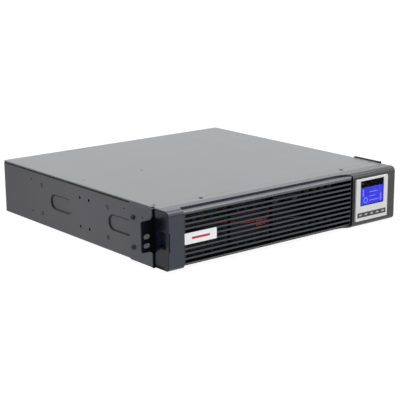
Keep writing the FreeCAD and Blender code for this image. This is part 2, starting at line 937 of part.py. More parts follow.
def ear_bracket(name, side):
    """Rack ear: a plate on the wall, folded out to a tab. The right one stands higher."""
    ear = body(name)
    outline = sketch(ear, "XY_Plane", "0")
    polygon(outline, [
        (mirrored(side, "half_width"), "ear_front"),
        (mirrored(side, "ear_tip_x"), "ear_front"),
        (mirrored(side, "ear_tip_x"), "ear_front + ear_thickness"),
        (mirrored(side, "half_width + ear_thickness"), "ear_front + ear_thickness"),
        (mirrored(side, "half_width + ear_thickness"), "ear_rear"),
        (mirrored(side, "half_width"), "ear_rear"),
    ])
    top = "ear_height" if side < 0 else "ear_height + ear_lift"
    pad(ear, outline, top)
    corners = sketch(ear, "XZ_Plane", "ear_front - 1")
    across = span(side, "tab_root_x", "ear_tip_x + 1")
    rectangle(corners, across, ("-1", "tab_low"))
    rectangle(corners, across, ("tab_high", top + " + 1"))
    pocket(ear, corners, "ear_thickness + 2", 1)
    slots = sketch(ear, "XZ_Plane", "ear_front")
    for height in ("rack_slot_low_z", "rack_slot_low_z + rack_slot_pitch"):
        slot(slots, mirrored(side, "rack_slot_x"), height, "rack_slot_length", "rack_slot_width")
    pocket(ear, slots, "ear_thickness", 1)
    holes = sketch(ear, "YZ_Plane", mirrored(side, "half_width"))
    for height in ("ear_screw_low_z", "ear_screw_high_z"):
        circle(holes, "ear_screw_y", height, "ear_screw_hole")
    circle(holes, "ear_hole_y", "ear_hole_z", "small_hole_radius")
    pocket(ear, holes, "ear_thickness", side)
    tab_ends = ("tab_low", "tab_high")
    round_edges(ear, "ear_root_round", lambda edge: runs(edge, "y") and any(
        lies(edge, x=mirrored(side, "tab_root_x"), z=end) for end in tab_ends))
    round_edges(ear, "ear_tip_round", lambda edge: runs(edge, "y") and any(
        lies(edge, x=mirrored(side, "ear_tip_x"), z=end) for end in tab_ends))
    round_edges(ear, "ear_plate_round", lambda edge: runs(edge, "x") and any(
        lies(edge, y="ear_rear", z=end) for end in ("0", top)))
    return keep(ear)


def screw(name, kind, x, y, z, towards):
    """A cross-recessed screw of one kind. Its head stands on x, y, z and points outwards."""
    radius, height, length = (kind + part for part in ("_radius", "_height", "_length"))
    head = cone(name + "_head", radius, "screw_crown * " + radius, height, "0", "0", "0")
    stem = rod(name + "_stem", "screw_shank * " + radius, length + " + cross_floor * " + height,
               "0", "0", "-" + length)
    long, short = "cross_reach * " + radius, "cross_width * " + radius
    floor = "cross_floor * " + height
    flats = (("-" + long, long), ("-" + short, short))
    slot_one = block(name + "_slot_one", flats[0], flats[1], (floor, height))
    slot_two = block(name + "_slot_two", flats[1], flats[0], (floor, height))
    piece = cut(name, join(name + "_solid", [head, stem]), [slot_one, slot_two])
    place(piece, x, y, z, towards)
    return piece


def rear_screw_places():
    """The x, z and surface of each screw in the rear panel."""
    heights = ("rear_screw_low_z", "rear_screw_high_z")
    places = [(mirrored(side, "rear_screw_x"), height, "rear_face")
              for side in (-1, 1) for height in heights]
    places.append(("middle_screw_x", "fan_z", "rear_face"))
    for across in BLANK_SCREWS:
        places.append((across, BLANK_MIDDLE, "rear_face + blank_depth"))
    for fan_x in ("fan_left_x", "fan_right_x"):
        places += [(across, height, "rear_face") for across, height in fan_bolts(fan_x)]
    return places


def fan_bolts(centre):
    """The x and z of a fan's four screws."""
    return [("%s + %d * fan_bolt" % (centre, column), "fan_z + %d * fan_bolt" % row)
            for column in (-1, 1) for row in (-1, 1)]


BLANK_SCREWS = ("blank_left + blank_screw_inset", "blank_right - blank_screw_inset")
BLANK_MIDDLE = "(blank_low + blank_high) / 2"


def fasteners():
    """The four sets of screws, each set one node."""
    ears, covers, sides, rears = [], [], [], []
    for side, out, tag in ((-1, "-x", "left"), (1, "+x", "right")):
        surface = mirrored(side, "half_width + ear_thickness")
        for height in ("ear_screw_low_z", "ear_screw_high_z"):
            name = "ear_screw_%s_%d" % (tag, len(ears))
            ears.append(screw(name, "ear_screw", surface, "ear_screw_y", height, out))
        sunk = mirrored(side, "half_width - sink_depth")
        for along, height in INNER_SCREWS:
            name = "side_screw_%s_%d" % (tag, len(sides))
            sides.append(screw(name, "side_screw", sunk, along, height, out))
        covers.append(screw("cover_screw_" + tag, "cover_screw", mirrored(side, "cover_screw_x"),
                            "cover_screw_y", "chassis_height", "+z"))
    for across, height, surface in rear_screw_places():
        name = "rear_screw_%d" % len(rears)
        rears.append(screw(name, "rear_screw", across, surface, height, "+y"))
    keep(group("ear_screws", ears))
    keep(group("side_screws", sides))
    keep(group("cover_screws", covers))
    keep(group("rear_screws", rears))


# Bezel and louvred panel

def bezel_frame():
    """Moulded front frame, rounded along its long edges, open for the louvred panel."""
    back = "front_face + bezel_depth"
    frame = plate("bezel_frame", ("-bezel_half", "bezel_half"), ("front_face", back),
                  ("bezel_low", "bezel_high"))
    round_edges(frame, "bezel_low_round",
                lambda edge: lies(edge, y="front_face", z="bezel_low"))
    round_edges(frame, "bezel_high_round",
                lambda edge: lies(edge, y="front_face", z="bezel_high"))
    round_edges(frame, "bezel_right_round", lambda edge: lies(edge, x="bezel_half")
                and not lies(edge, y=back))
    round_edges(frame, "bezel_left_round", lambda edge: lies(edge, x="-bezel_half")
                and not lies(edge, y=back))
    ends = sketch(frame, "XZ_Plane", back)
    rectangle(ends, ("end_left_x", "panel_left - end_wall"), ("end_low", "end_high"))
    rectangle(ends, ("panel_right + end_wall", "bezel_half - end_right_wall"),
              ("end_low", "end_high"))
    pocket(frame, ends, "bezel_depth - bezel_front_wall", -1)
    bay = sketch(frame, "XZ_Plane", back)
    rectangle(bay, *TRAY_OPENING)
    pocket(frame, bay, "bezel_depth - panel_depth + 1", -1)
    seat = sketch(frame, "XZ_Plane", "front_face")
    rectangle(seat, ("panel_left", "panel_right"),
              ("panel_low - panel_gap", "panel_high + panel_gap"))
    pocket(frame, seat, "panel_depth", 1)
    sweep = sketch(frame, "XY_Plane", "bezel_low - 1")
    panel_outline(sweep)
    pocket(frame, sweep, "bezel_high + 1", 1)
    ledge = sketch(frame, "XY_Plane", "bezel_high")
    rectangle(ledge, widened(("-half_width + flange_inset", "half_width - flange_inset"),
                             "ledge_gap"), ("flange_front - ledge_gap", back + " + 1"))
    pocket(frame, ledge, "sheet_metal + ledge_gap", -1)
    neck = sketch(frame, "XZ_Plane", "front_face")
    circle(neck, "dial_x", "dial_z", "boss_radius + boss_gap")
    pocket(frame, neck, "bezel_front_wall + 1", 1)
    for side, depth in ((-1, "grip_depth"), (1, "shallow_grip_depth")):
        grip = sketch(frame, "YZ_Plane", mirrored(side, "bezel_half"))
        rectangle(grip, ("grip_front_y", "grip_rear_y"), ("grip_low", "grip_high"))
        pocket(frame, grip, depth, -side)
    slit = sketch(frame, "XZ_Plane", "front_face")
    rectangle(slit, ("slit_left_x", "slit_left_x + slit_width"), ("slit_low", "slit_high"))
    pocket(frame, slit, "slit_depth", 1)
    return keep(frame)


# The sweep at the louvred panel's right end: inset from the end, then depth behind the front.
SWEEP = (("0", "1"), ("2.6", "4.6"), ("8.6", "8.6"), ("18", "11.4"), ("27", "panel_depth"))


def panel_outline(drawing):
    """Cut-out above and below the louvred panel: straight, then swept forward at the right."""
    swept = [("panel_right - " + inset, "front_face + " + depth) for inset, depth in SWEEP]
    polygon(drawing, [("panel_left", "front_face - 1"), ("panel_right", "front_face - 1")]
            + swept + [("panel_left + end_wall", "front_face + panel_depth"),
                       ("panel_left", "front_face + panel_depth - end_wall")])


LOUVRES = 10


def grille_panel():
    """Louvred panel in front of the batteries. It pulls straight off."""
    across = ("panel_left + panel_gap", "panel_right - panel_gap")
    panel = plate("grille_panel", across, ("front_face", "front_face + panel_depth - panel_gap"),
                  ("panel_low", "panel_high"))
    round_edges(panel, "panel_round", lambda edge: lies(edge, y="front_face") and not lies(
        edge, x=across[0]))
    louvre_back = "front_face + louvre_depth"
    hollow = sketch(panel, "XZ_Plane", "front_face + panel_depth")
    inside = ("panel_low + panel_wall", "panel_high - panel_wall")
    rectangle(hollow, ("louvre_left", "louvre_right - louvre_back_inset"), inside)
    pocket(panel, hollow, "panel_depth - louvre_depth", -1)
    gap = sketch(panel, "XZ_Plane", "front_face - 1")
    rectangle(gap, ("louvre_left", "louvre_right"), ("louvre_low_z", "louvre_low_z + louvre_gap"))
    first = pocket(panel, gap, "louvre_depth + 2", 1)
    repeat(panel, first, "z", "%d * louvre_pitch" % (LOUVRES - 1), LOUVRES)
    ribs = sketch(panel, "XZ_Plane", louvre_back)
    for number in range(3):
        rib_x = "rib_first_x + %d * rib_pitch" % number
        rectangle(ribs, (rib_x, rib_x + " + rib_width"), inside)
    pad(panel, ribs, "rib_depth")
    seat = sketch(panel, "XZ_Plane", "front_face")
    rectangle(seat, ("panel_left", "plate_right + plate_gap"),
              widened(("plate_low", "plate_high"), "plate_gap"))
    pocket(panel, seat, "plate_seat", 1)
    return keep(panel)


def name_plate():
    """Blank light plate let into the louvres."""
    piece = plate("name_plate", ("plate_left", "plate_right"),
                  ("front_face - plate_proud", "front_face + plate_seat"),
                  ("plate_low", "plate_high"))
    round_edges(piece, "plate_round", lambda edge: runs(edge, "y"))
    return keep(piece)


# Display module

DISPLAY_LEFT = "dial_x - display_width / 2"
DISPLAY_RIGHT = "dial_x + display_width / 2"
DISPLAY_LOW = "dial_z - display_height / 2"
DISPLAY_HIGH = "dial_z + display_height / 2"
DISPLAY_FRONT = "front_face - proud"
DISPLAY_BACK = "front_face - display_clearance"
DISPLAY_X = (DISPLAY_LEFT, DISPLAY_RIGHT)
DISPLAY_Z = (DISPLAY_LOW, DISPLAY_HIGH)
WINDOW_X = ("dial_x - window_width / 2", "dial_x + window_width / 2")
WINDOW_Z = ("window_low", "window_high")
STRIP_X = ("dial_x - strip_width / 2", "dial_x + strip_width / 2")
STRIP_Z = ("strip_low", "strip_high")


def display_frame():
    """Square silver frame with a window and a slot for the button strip."""
    frame = plate("display_frame", DISPLAY_X, (DISPLAY_FRONT, DISPLAY_BACK), DISPLAY_Z)
    round_edges(frame, "display_corner", lambda edge: runs(edge, "y"))
    round_edges(frame, "display_edge", lambda edge: lies(edge, y=DISPLAY_FRONT))
    front = sketch(frame, "XZ_Plane", DISPLAY_FRONT)
    rectangle(front, WINDOW_X, WINDOW_Z)
    rectangle(front, STRIP_X, STRIP_Z)
    pocket(frame, front, "proud", 1)
    back = sketch(frame, "XZ_Plane", DISPLAY_BACK)
    rectangle(back, widened(DISPLAY_X, "-display_wall"), widened(DISPLAY_Z, "-display_wall"))
    pocket(frame, back, "display_hollow", -1)
    return keep(frame)


def behind_front(start, end):
    """A pair of places behind the front of the display."""
    return (DISPLAY_FRONT + " + " + start, DISPLAY_FRONT + " + " + end)


def display_inside():
    """Lens, liquid-crystal panel, indicator, button strip and back plate of the module."""
    led_x = WINDOW_X[0] + " + led_inset"
    led_z = "window_high - led_drop"
    lens = plate("lcd_window", widened(WINDOW_X, "-lens_gap"),
                 behind_front("lens_front", "lens_back"), widened(WINDOW_Z, "-lens_gap"))
    lens_hole = sketch(lens, "XZ_Plane", DISPLAY_FRONT)
    circle(lens_hole, led_x, led_z, "led_hole")
    pocket(lens, lens_hole, "proud", 1)
    keep(lens)
    keep(plate("lcd_panel", widened(WINDOW_X, "lcd_margin"),
               behind_front("lcd_front", "lcd_back"), widened(WINDOW_Z, "lcd_margin")))
    back = plate("display_back", widened(DISPLAY_X, "-back_margin"),
                 (DISPLAY_BACK + " - back_thickness", DISPLAY_BACK),
                 widened(DISPLAY_Z, "-back_margin"))
    round_edges(back, "back_round", lambda edge: runs(edge, "y"))
    keep(back)
    keep(rod("status_led", "led_radius", "led_length", led_x, DISPLAY_FRONT + " + key_front",
             led_z, "+y"))
    strip = plate("button_strip", widened(STRIP_X, "-strip_gap"),
                  behind_front("strip_front", "strip_back"), widened(STRIP_Z, "-strip_gap"))
    holes = sketch(strip, "XZ_Plane", DISPLAY_FRONT)
    for number in range(KEYS):
        rectangle(holes, around(key_x(number), "key_width / 2 + key_gap"),
                  around(KEY_Z, "key_height / 2 + key_gap"))
    pocket(strip, holes, "proud", 1)
    keep(strip)


KEYS = 5
KEY_Z = "(strip_low + strip_high) / 2"


def key_x(number):
    return "dial_x + %d * key_pitch" % (number - KEYS // 2)


def button(number):
    """One key of the strip, held behind the strip by a thin rim."""
    centre = key_x(number)
    key = plate("button_%d" % (number + 1), around(centre, "key_width / 2"),
                behind_front("key_front", "key_back"), around(KEY_Z, "key_height / 2"))
    round_edges(key, "key_round", lambda edge: runs(edge, "y"))
    round_edges(key, "key_edge", lambda edge: lies(edge, y=DISPLAY_FRONT + " + key_front"))
    rim = sketch(key, "XZ_Plane", DISPLAY_FRONT + " + key_back")
    rectangle(rim, around(centre, "key_width / 2 + key_rim"),
              around(KEY_Z, "key_height / 2 + key_rim"))
    pad(key, rim, "key_rim_depth")
    return keep(key)


def display_boss():
    """Round neck of the module. It turns in the bezel and a rim behind holds it in."""
    cup = rod("boss_cup", "boss_radius", "boss_length", "dial_x", DISPLAY_BACK, "dial_z", "+y")
    rim = rod("boss_rim", "boss_radius + boss_rim_width", "boss_rim_depth", "dial_x",
              "front_face + boss_rim_y", "dial_z", "+y")
    hollow = rod("boss_hollow", "boss_radius - boss_wall", "boss_length", "dial_x",
                 DISPLAY_BACK + " + boss_floor", "dial_z", "+y")
    return keep(cut("display_boss", join("boss_solid", [cup, rim]), [hollow]))


def display_board():
    """Round circuit board inside the neck, with a chip and a ribbon header behind."""
    disc = rod("board_disc", "boss_radius - disc_gap", "board_thickness", "dial_x",
               "front_face + disc_y", "dial_z", "+y")
    behind = "front_face + disc_y + board_thickness"
    chip = block("board_chip", around("dial_x", "chip_half"), (behind, behind + " + chip_depth"),
                 ("dial_z + chip_rise", "dial_z + chip_rise + 2 * chip_half"))
    header = block("board_header", around("dial_x", "header_half"),
                   (behind, behind + " + header_depth"),
                   ("dial_z - header_drop", "dial_z - header_drop + header_height"))
    return keep(join("display_board", [disc, chip, header]))


# Batteries and tray

VENTS = 19


def battery_tray():
    """Welded steel tray with a vented front. It slides out with the batteries."""
    floor_top = "tray_low + sheet_metal"
    across = ("tray_left", "tray_right")
    along = ("tray_front + sheet_metal", "tray_rear - sheet_metal")
    upright = (floor_top, "tray_wall_high")
    front = plate("tray_front_plate", across, ("tray_front", "tray_front + sheet_metal"),
                  (floor_top, "tray_high"))
    vent = sketch(front, "XZ_Plane", "tray_front")
    for height in ("vent_low_z", "vent_high_z"):
        rectangle(vent, ("tray_left + vent_inset", "tray_left + vent_inset + vent_width"),
                  (height, height + " + vent_height"))
    first = pocket(front, vent, "sheet_metal", 1)
    repeat(front, first, "x", "%d * vent_pitch" % (VENTS - 1), VENTS)
    grommet = sketch(front, "XZ_Plane", "tray_front")
    circle(grommet, "red_grommet_x", "red_grommet_z", "grommet_radius")
    circle(grommet, "black_grommet_x", "black_grommet_z", "grommet_radius")
    pocket(front, grommet, "sheet_metal", 1)
    floor = block("tray_floor", across, ("tray_front", "tray_rear"), ("tray_low", floor_top))
    left = block("tray_left_wall", ("tray_left", "tray_left + sheet_metal"), along, upright)
    right = block("tray_right_wall", ("tray_right - sheet_metal", "tray_right"), along, upright)
    rear = block("tray_rear_wall", across, ("tray_rear - sheet_metal", "tray_rear"), upright)
    keep(group("battery_tray", [front, floor, left, right, rear]))


BATTERY_LOW = "tray_low + sheet_metal + battery_gap"


def battery(name, left, front):
    """Sealed lead-acid battery lying on its side, with its lid towards the front."""
    across = (left, left + " + battery_length")
    upright = (BATTERY_LOW, BATTERY_LOW + " + battery_height")
    case = plate(name, across, (front + " + lid_depth", front + " + battery_depth"), upright)
    lid = sketch(case, "XZ_Plane", front)
    rectangle(lid, widened(across, "-lid_step"), widened(upright, "-lid_step"))
    pad(case, lid, "lid_depth")
    seats = sketch(case, "XZ_Plane", front)
    for terminal_x in terminal_places(left):
        rectangle(seats, around(terminal_x, "terminal_half + seat_margin_x"),
                  widened(("terminal_low_z", "terminal_high_z"), "seat_margin_z"))
    pocket(case, seats, "seat_depth", 1)
    round_edges(case, "battery_round", lambda edge: runs(edge, "y"))
    return keep(case)


def terminal_places(left):
    return (left + " + terminal_inset", left + " + battery_length - terminal_inset")


def battery_pack():
    """Four batteries in two rows of two, with their terminals and hold-down bars."""
    tabs, bars = [], []
    rows = ("battery_front_y", "battery_front_y + battery_row_pitch")
    above = BATTERY_LOW + " + battery_height + bar_gap"
    heights = ("terminal_low_z", "terminal_high_z")
    number = 0
    for front in rows:
        for left in ("battery_left_x", "battery_right_x"):
            number += 1
            battery("battery_%d" % number, left, front)
            for terminal_x in terminal_places(left):
                name = "terminal_%d" % len(tabs)
                back = front + " + seat_depth"
                middle = back + " - terminal_depth"
                base = block(name + "_base", around(terminal_x, "terminal_half"), (middle, back),
                             heights)
                blade = block(name + "_blade", around(terminal_x, "blade_half"),
                              (middle + " - blade_length", middle),
                              widened(heights, "-blade_inset"))
                tabs.append(join(name, [base, blade]))
        bar_y = front + " + bar_start"
        bars.append(block("bar_%d" % len(bars),
                          ("tray_left + sheet_metal", "tray_right - sheet_metal"),
                          (bar_y, bar_y + " + bar_width"), (above, above + " + sheet_metal")))
    keep(group("battery_terminals", tabs))
    keep(group("hold_down_bars", bars))


def service_link():
    """Red fuse holder on the tray's front, in series with the batteries."""
    front = "tray_front - link_depth"
    upright = ("link_low_z", "link_high_z")
    holder = plate("service_link", ("link_left", "link_right"), (front, "tray_front"), upright)
    split = sketch(holder, "XZ_Plane", front)
    rectangle(split, around("(link_left + link_right) / 2", "link_split / 2"),
              widened(upright, "link_split"))
    pocket(holder, split, "link_split_depth", 1)
    round_edges(holder, "link_round", lambda edge: runs(edge, "y"))
    return keep(holder)


def lead(name, points, radius):
    """A wire of straight runs joined by tangent arcs, through hand-placed points."""
    path = rounded_path(points)
    start = points[0]
    direction = points[1] - points[0]
    circle_wire = Part.Wire(Part.Circle(start, direction, radius).toShape())
    solid = path.makePipeShell([circle_wire], True, True)
    piece = doc.addObject("Part::Feature", name)
    piece.Shape = solid
    print(name, "length", round(path.Length, 1), "volume ratio",
          round(solid.Volume / (path.Length * math.pi * radius * radius), 3))
    return keep(piece)


def rounded_path(points):
    """Straight runs with an arc at each inner point, as large as its two runs allow."""
    edges = []
    start = points[0]
    for before, corner, after in zip(points, points[1:], points[2:]):
        back = (before - corner).normalize()
        ahead = (after - corner).normalize()
        turn = math.pi - back.getAngle(ahead)
        shorter = min((before - corner).Length, (after - corner).Length)
        trim = 0.45 * shorter
        radius = trim / math.tan(turn / 2)
        entry = corner + back * trim
        leave = corner + ahead * trim
        halfway = (back + ahead).normalize()
        centre_distance = radius / math.cos(turn / 2)
        middle = corner + halfway * (centre_distance - radius)
        edges.append(Part.LineSegment(start, entry).toShape())
        edges.append(Part.Arc(entry, middle, leave).toShape())
        start = leave
    edges.append(Part.LineSegment(start, points[-1]).toShape())
    return Part.Wire(edges)


# Hand-placed points of the two wires on the tray's front, each an x and a z.
RED_RUN = ((-58, 42.5), (-78, 42.5), (-104, 49), (-132, 53), (-156, 53))
BLACK_RUN = ((-30, 38.5), (-8, 38.5), (18, 34), (42, 32.5), (62, 33))


def battery_leads():
    """Red and black wires between the service link and the batteries."""
    radius = value("wire_radius")
    front = value("tray_front - wire_radius - wire_gap")
    for name, run in (("lead_red", RED_RUN), ("lead_black", BLACK_RUN)):
        lead(name, [FreeCAD.Vector(x, front, z) for x, z in run], radius)


def tray_extras():
    """Pull tab on the tray's front, and the plug and socket that join when it is home."""
    upright = ("pull_low_z", "pull_high_z")
    tab = plate("pull_tab", around("0", "pull_half"), ("tray_front - pull_depth", "tray_front"),
                upright)
    round_edges(tab, "pull_round", lambda edge: runs(edge, "y"))
    hole = sketch(tab, "XZ_Plane", "tray_front - pull_depth")
    slot(hole, "0", "(pull_low_z + pull_high_z) / 2", "pull_slot_length", "pull_slot_width")
    pocket(tab, hole, "pull_depth", 1)
    keep(tab)
    back = "tray_rear + plug_length"
    plug = plate("battery_plug", around("mate_x", "plug_half_width"), ("tray_rear", back),
                 around("mate_z", "plug_half_height"))
    bores = sketch(plug, "XZ_Plane", back)
    socket = [block("socket_housing", around("mate_x", "socket_half_width"),
                    ("tray_rear + socket_front", "tray_rear + socket_back"),
                    around("mate_z", "socket_half_height"))]
    for side, tag in ((-1, "left"), (1, "right")):
        centre = "mate_x + %d * mate_pitch / 2" % side
        rectangle(bores, around(centre, "plug_bore_half"), around("mate_z", "plug_bore_rise"))
        socket.append(block("socket_pin_" + tag, around(centre, "contact_half"),
                            ("tray_rear + contact_front", "tray_rear + contact_back"),
                            around("mate_z", "contact_rise")))
    pocket(plug, bores, "plug_bore_depth", -1)
    keep(plug)
    keep(join("battery_socket", socket))


def battery_bay():
    """Wall beside the tray, wall behind it and the rails that it slides on."""
    upright = ("sheet_metal", "chassis_height - sheet_metal - skirt_height - bay_top_gap")
    right = "tray_right + bay_gap"
    front = "ear_front + sheet_metal"
    back = "tray_rear + socket_back"
    walls = [
        block("bay_beside", (right, right + " + sheet_metal"), (front, back + " + sheet_metal"),
              upright),
        block("bay_behind", ("-half_width + 2 * sheet_metal + bay_left_gap",
                             right + " + sheet_metal"), (back, back + " + sheet_metal"), upright),
    ]
    starts = ("tray_left + slide_inset", "slide_middle_x",
              "tray_right - slide_inset - slide_width")
    for number, start in enumerate(starts):
        walls.append(block("bay_rail_%d" % number, (start, start + " + slide_width"),
                           (front, back), ("sheet_metal", "tray_low - slide_gap")))
    return keep(join("battery_bay", walls))


# Electronics

MAIN_TOP = "main_low + board_thickness"


def boards():
    """Main board on stand-offs, upright control board and the ribbon to the display."""
    keep(plate("main_board", ("main_left", "main_right"), ("main_front", "main_rear"),
               ("main_low", MAIN_TOP)))
    legs = []
    for leg_x in ("main_left + leg_inset", "(main_left + main_right) / 2",
                  "main_right - leg_inset"):
        for leg_y in ("main_front + leg_inset", "main_rear - leg_inset"):
            legs.append(rod("leg_%d" % len(legs), "leg_radius", "main_low - sheet_metal",
                            leg_x, leg_y, "sheet_metal"))
    keep(group("board_standoffs", legs))
    keep(control_board())
    keep(ribbon_cable())


def control_board():
    """Upright card with a chip, a ribbon header and a relay on its right face."""
    face = "card_x + board_thickness"
    along = ("card_front", "card_rear")
    pieces = [
        block("control_card", ("card_x", face), along, ("card_low", "card_high")),
        block("control_foot", ("card_foot_left", "card_foot_right"), along,
              ("sheet_metal", "card_low")),
    ]
    for part, rise in (("card_chip", "card_chip_half"), ("card_header", "card_header_rise"),
                       ("card_relay", "card_relay_rise")):
        pieces.append(block(part, (face, "%s + %s_depth" % (face, part)),
                            around(part + "_y", part + "_half"), around(part + "_z", rise)))
    return join("control_board", pieces)


def ribbon_cable():
    """Flat cable from the card, folded once towards the display."""
    ribbon = body("ribbon_cable")
    profile = sketch(ribbon, "XY_Plane", "ribbon_low_z")
    start = "card_x + board_thickness + card_header_depth"
    inner = "ribbon_turn_x - ribbon_thickness"
    polygon(profile, [
        (start, "ribbon_start_y"), ("ribbon_turn_x", "ribbon_start_y"),
        ("ribbon_turn_x", "ribbon_end_y"), ("ribbon_end_x", "ribbon_end_y"),
        ("ribbon_end_x", "ribbon_end_y - ribbon_thickness"),
        (inner, "ribbon_end_y - ribbon_thickness"), (inner, "ribbon_start_y - ribbon_thickness"),
        (start, "ribbon_start_y - ribbon_thickness"),
    ])
    pad(ribbon, profile, "ribbon_width")
    return ribbon


FINS = 10


def heatsinks():
    """Two finned aluminium blocks in the fans' air stream, with the transistors on them."""
    sinks, packages = [], []
    along = ("sink_front", "sink_rear")
    base_top = "sink_low + sink_base"
    for number in range(2):
        left = "sink_left + %d * sink_pitch" % number
        foot = left + " + sink_foot_inset"
        foot_end = foot + " + sink_foot_width"
        pieces = [
            block("sink_base_%d" % number, (left, left + " + sink_width"), along,
                  ("sink_low", base_top)),
            block("sink_foot_%d" % number, (foot, foot_end), along, (MAIN_TOP, "sink_low")),
        ]
        for fin in range(FINS):
            fin_x = "%s + %d * fin_pitch" % (left, fin)
            pieces.append(block("sink_fin_%d_%d" % (number, fin),
                                (fin_x, fin_x + " + fin_thickness"), along,
                                (base_top, "sink_high")))
        sinks.append(join("sink_%d" % number, pieces))
        for row in range(4):
            start = "package_front + %d * package_pitch" % row
            packages.append(block("package_%d_%d" % (number, row),
                                  (foot_end, foot_end + " + package_thickness"),
                                  (start, start + " + package_length"), (MAIN_TOP, "sink_low")))
    keep(group("heatsinks", sinks))
    keep(group("power_transistors", packages))


def power_parts():
    """Capacitors, inductors and relays on the main board."""
    cans, coils, relays = [], [], []
    for column in range(2):
        for row in range(3):
            can_x = "can_left_x + %d * can_pitch_x" % column
            can_y = "can_front_y + %d * can_pitch_y" % row
            name = "can_%d%d" % (column, row)
            case = rod(name + "_case", "can_radius", "can_height", can_x, can_y, MAIN_TOP)
            bead = ring(name + "_bead", "bead_radius", "bead_wire", can_x, can_y, "bead_z")
            cans.append(cut(name, case, [bead]))
    for number in range(2):
        coil_y = "coil_front_y + %d * coil_pitch" % number
        core = ring("coil_core_%d" % number, "coil_radius", "coil_wire", "coil_x", coil_y,
                    "coil_z", "+x")
        base = block("coil_base_%d" % number, around("coil_x", "coil_wire"),
                     around(coil_y, "coil_base_half"), (MAIN_TOP, "coil_base_high"))
        coils.append(join("coil_%d" % number, [core, base]))
    for number in range(4):
        start = "relay_front + %d * relay_pitch" % number
        box = block("relay_box_%d" % number, ("relay_left", "relay_left + relay_width"),
                    (start, start + " + relay_length"), (MAIN_TOP, "relay_high"))
        relays.append(soften("relay_%d" % number, box, "relay_round",
                             lambda edge: runs(edge, "z")))
    keep(group("capacitors", cans))
    keep(group("inductors", coils))
    keep(group("relays", relays))


# Rear

PORTS = ("serial", "data", "network")


def port_box(port):
    """The x pair and the z pair of a port's shell."""
    return ((port + "_left", port + "_right"), (port + "_low", port + "_high"))


def outlet_block_box():
    """The x pair and the z pair of the outlet moulding."""
    last = "outlet_x + %d * outlet_pitch_x" % (OUTLET_COLUMNS - 1)
    return (("outlet_x - outlet_half_width", last + " + outlet_half_width"),
            ("outlet_low_z - outlet_half_height", "outlet_high_z + outlet_half_height"))


def rear_panel():
    """Steel plate with openings for the fans, inlet, outlets, ports and breaker."""
    panel = plate("rear_panel", around("0", "half_width - sheet_metal - rear_fit"),
                  ("rear_face - sheet_metal", "rear_face"),
                  widened(("sheet_metal", "chassis_height - sheet_metal"), "-rear_fit"))
    holes = sketch(panel, "XZ_Plane", "rear_face")
    for fan_x in ("fan_left_x", "fan_right_x"):
        circle(holes, fan_x, "fan_z", "fan_hole_radius")
    rectangle(holes, around("inlet_x", "inlet_half_width + inlet_gap"),
              around("inlet_z", "inlet_half_height + inlet_gap"))
    across, upright = outlet_block_box()
    rectangle(holes, widened(across, "outlet_gap"), widened(upright, "outlet_gap"))
    circle(holes, "inlet_x", "breaker_z", "breaker_hole")
    rectangle(holes, ("slot_left", "slot_right"), ("slot_low", "slot_high"))
    for port in PORTS:
        across, upright = port_box(port)
        rectangle(holes, widened(across, "port_gap"), widened(upright, "port_gap"))
    pocket(panel, holes, "sheet_metal", -1)
    small = sketch(panel, "XZ_Plane", "rear_face")
    for across, height, _ in rear_screw_places():
        circle(small, across, height, "screw_hole_radius")
    pocket(panel, small, "sheet_metal", -1)
    return keep(panel)


def fan(side_name, centre):
    """A square fan frame and the rotor that spins in it."""
    back = "rear_face - sheet_metal"
    front = back + " - fan_depth"
    frame = plate(side_name + "_frame", around(centre, "fan_size / 2"), (front, back),
                  around("fan_z", "fan_size / 2"))
    bore = sketch(frame, "XZ_Plane", front)
    circle(bore, centre, "fan_z", "fan_hole_radius")
    for across, height in fan_bolts(centre):
        circle(bore, across, height, "fan_bolt_hole")
    pocket(frame, bore, "fan_depth", 1)
    round_edges(frame, "fan_round", lambda edge: runs(edge, "y"))
    spider = sketch(frame, "XZ_Plane", front)
    circle(spider, centre, "fan_z", "spider_radius")
    pad(frame, spider, "spider_depth")
    for across, upright in (("arm_reach", "arm_half"), ("arm_half", "arm_reach")):
        arm = sketch(frame, "XZ_Plane", front)
        rectangle(arm, around(centre, across), around("fan_z", upright))
        pad(frame, arm, "arm_depth")
    keep(frame)
    keep(fan_rotor(side_name + "_rotor", centre, front + " + rotor_y"))


BLADES = 7


def fan_rotor(name, centre, front):
    """Hub with pitched blades."""
    hub = rod(name + "_hub", "hub_radius", "rotor_depth", centre, front, "fan_z", "+y")
    limit = rod(name + "_limit", "fan_hole_radius - blade_tip_gap", "rotor_depth", centre, front,
                "fan_z", "+y")
    middle = FreeCAD.Vector(value(centre), value(front + " + rotor_depth / 2"), value("fan_z"))
    blades = []
    for number in range(BLADES):
        blade = doc.addObject("Part::Box", "%s_blade_%d" % (name, number))
        bind(blade, "Length", "fan_hole_radius - blade_root")
        bind(blade, "Width", "blade_chord")
        bind(blade, "Height", "blade_thickness")
        corner = FreeCAD.Vector(value("blade_root"), value("-blade_chord / 2"),
                                value("-blade_thickness / 2"))
        spin = FreeCAD.Rotation(ALONG, number * 360 / BLADES)
        pitch = FreeCAD.Rotation(ACROSS, value("blade_pitch"))
        turned = FreeCAD.Placement(middle, spin.multiply(pitch))
        blade.Placement = turned.multiply(FreeCAD.Placement(corner, FreeCAD.Rotation()))
        blades.append(blade)
    trimmed = common(name + "_trimmed", join(name + "_blades", [hub] + blades), limit)
    shaft = rod(name + "_shaft", "shaft_radius", "shaft_depth", centre, front, "fan_z", "+y")
    return cut(name, trimmed, [shaft])


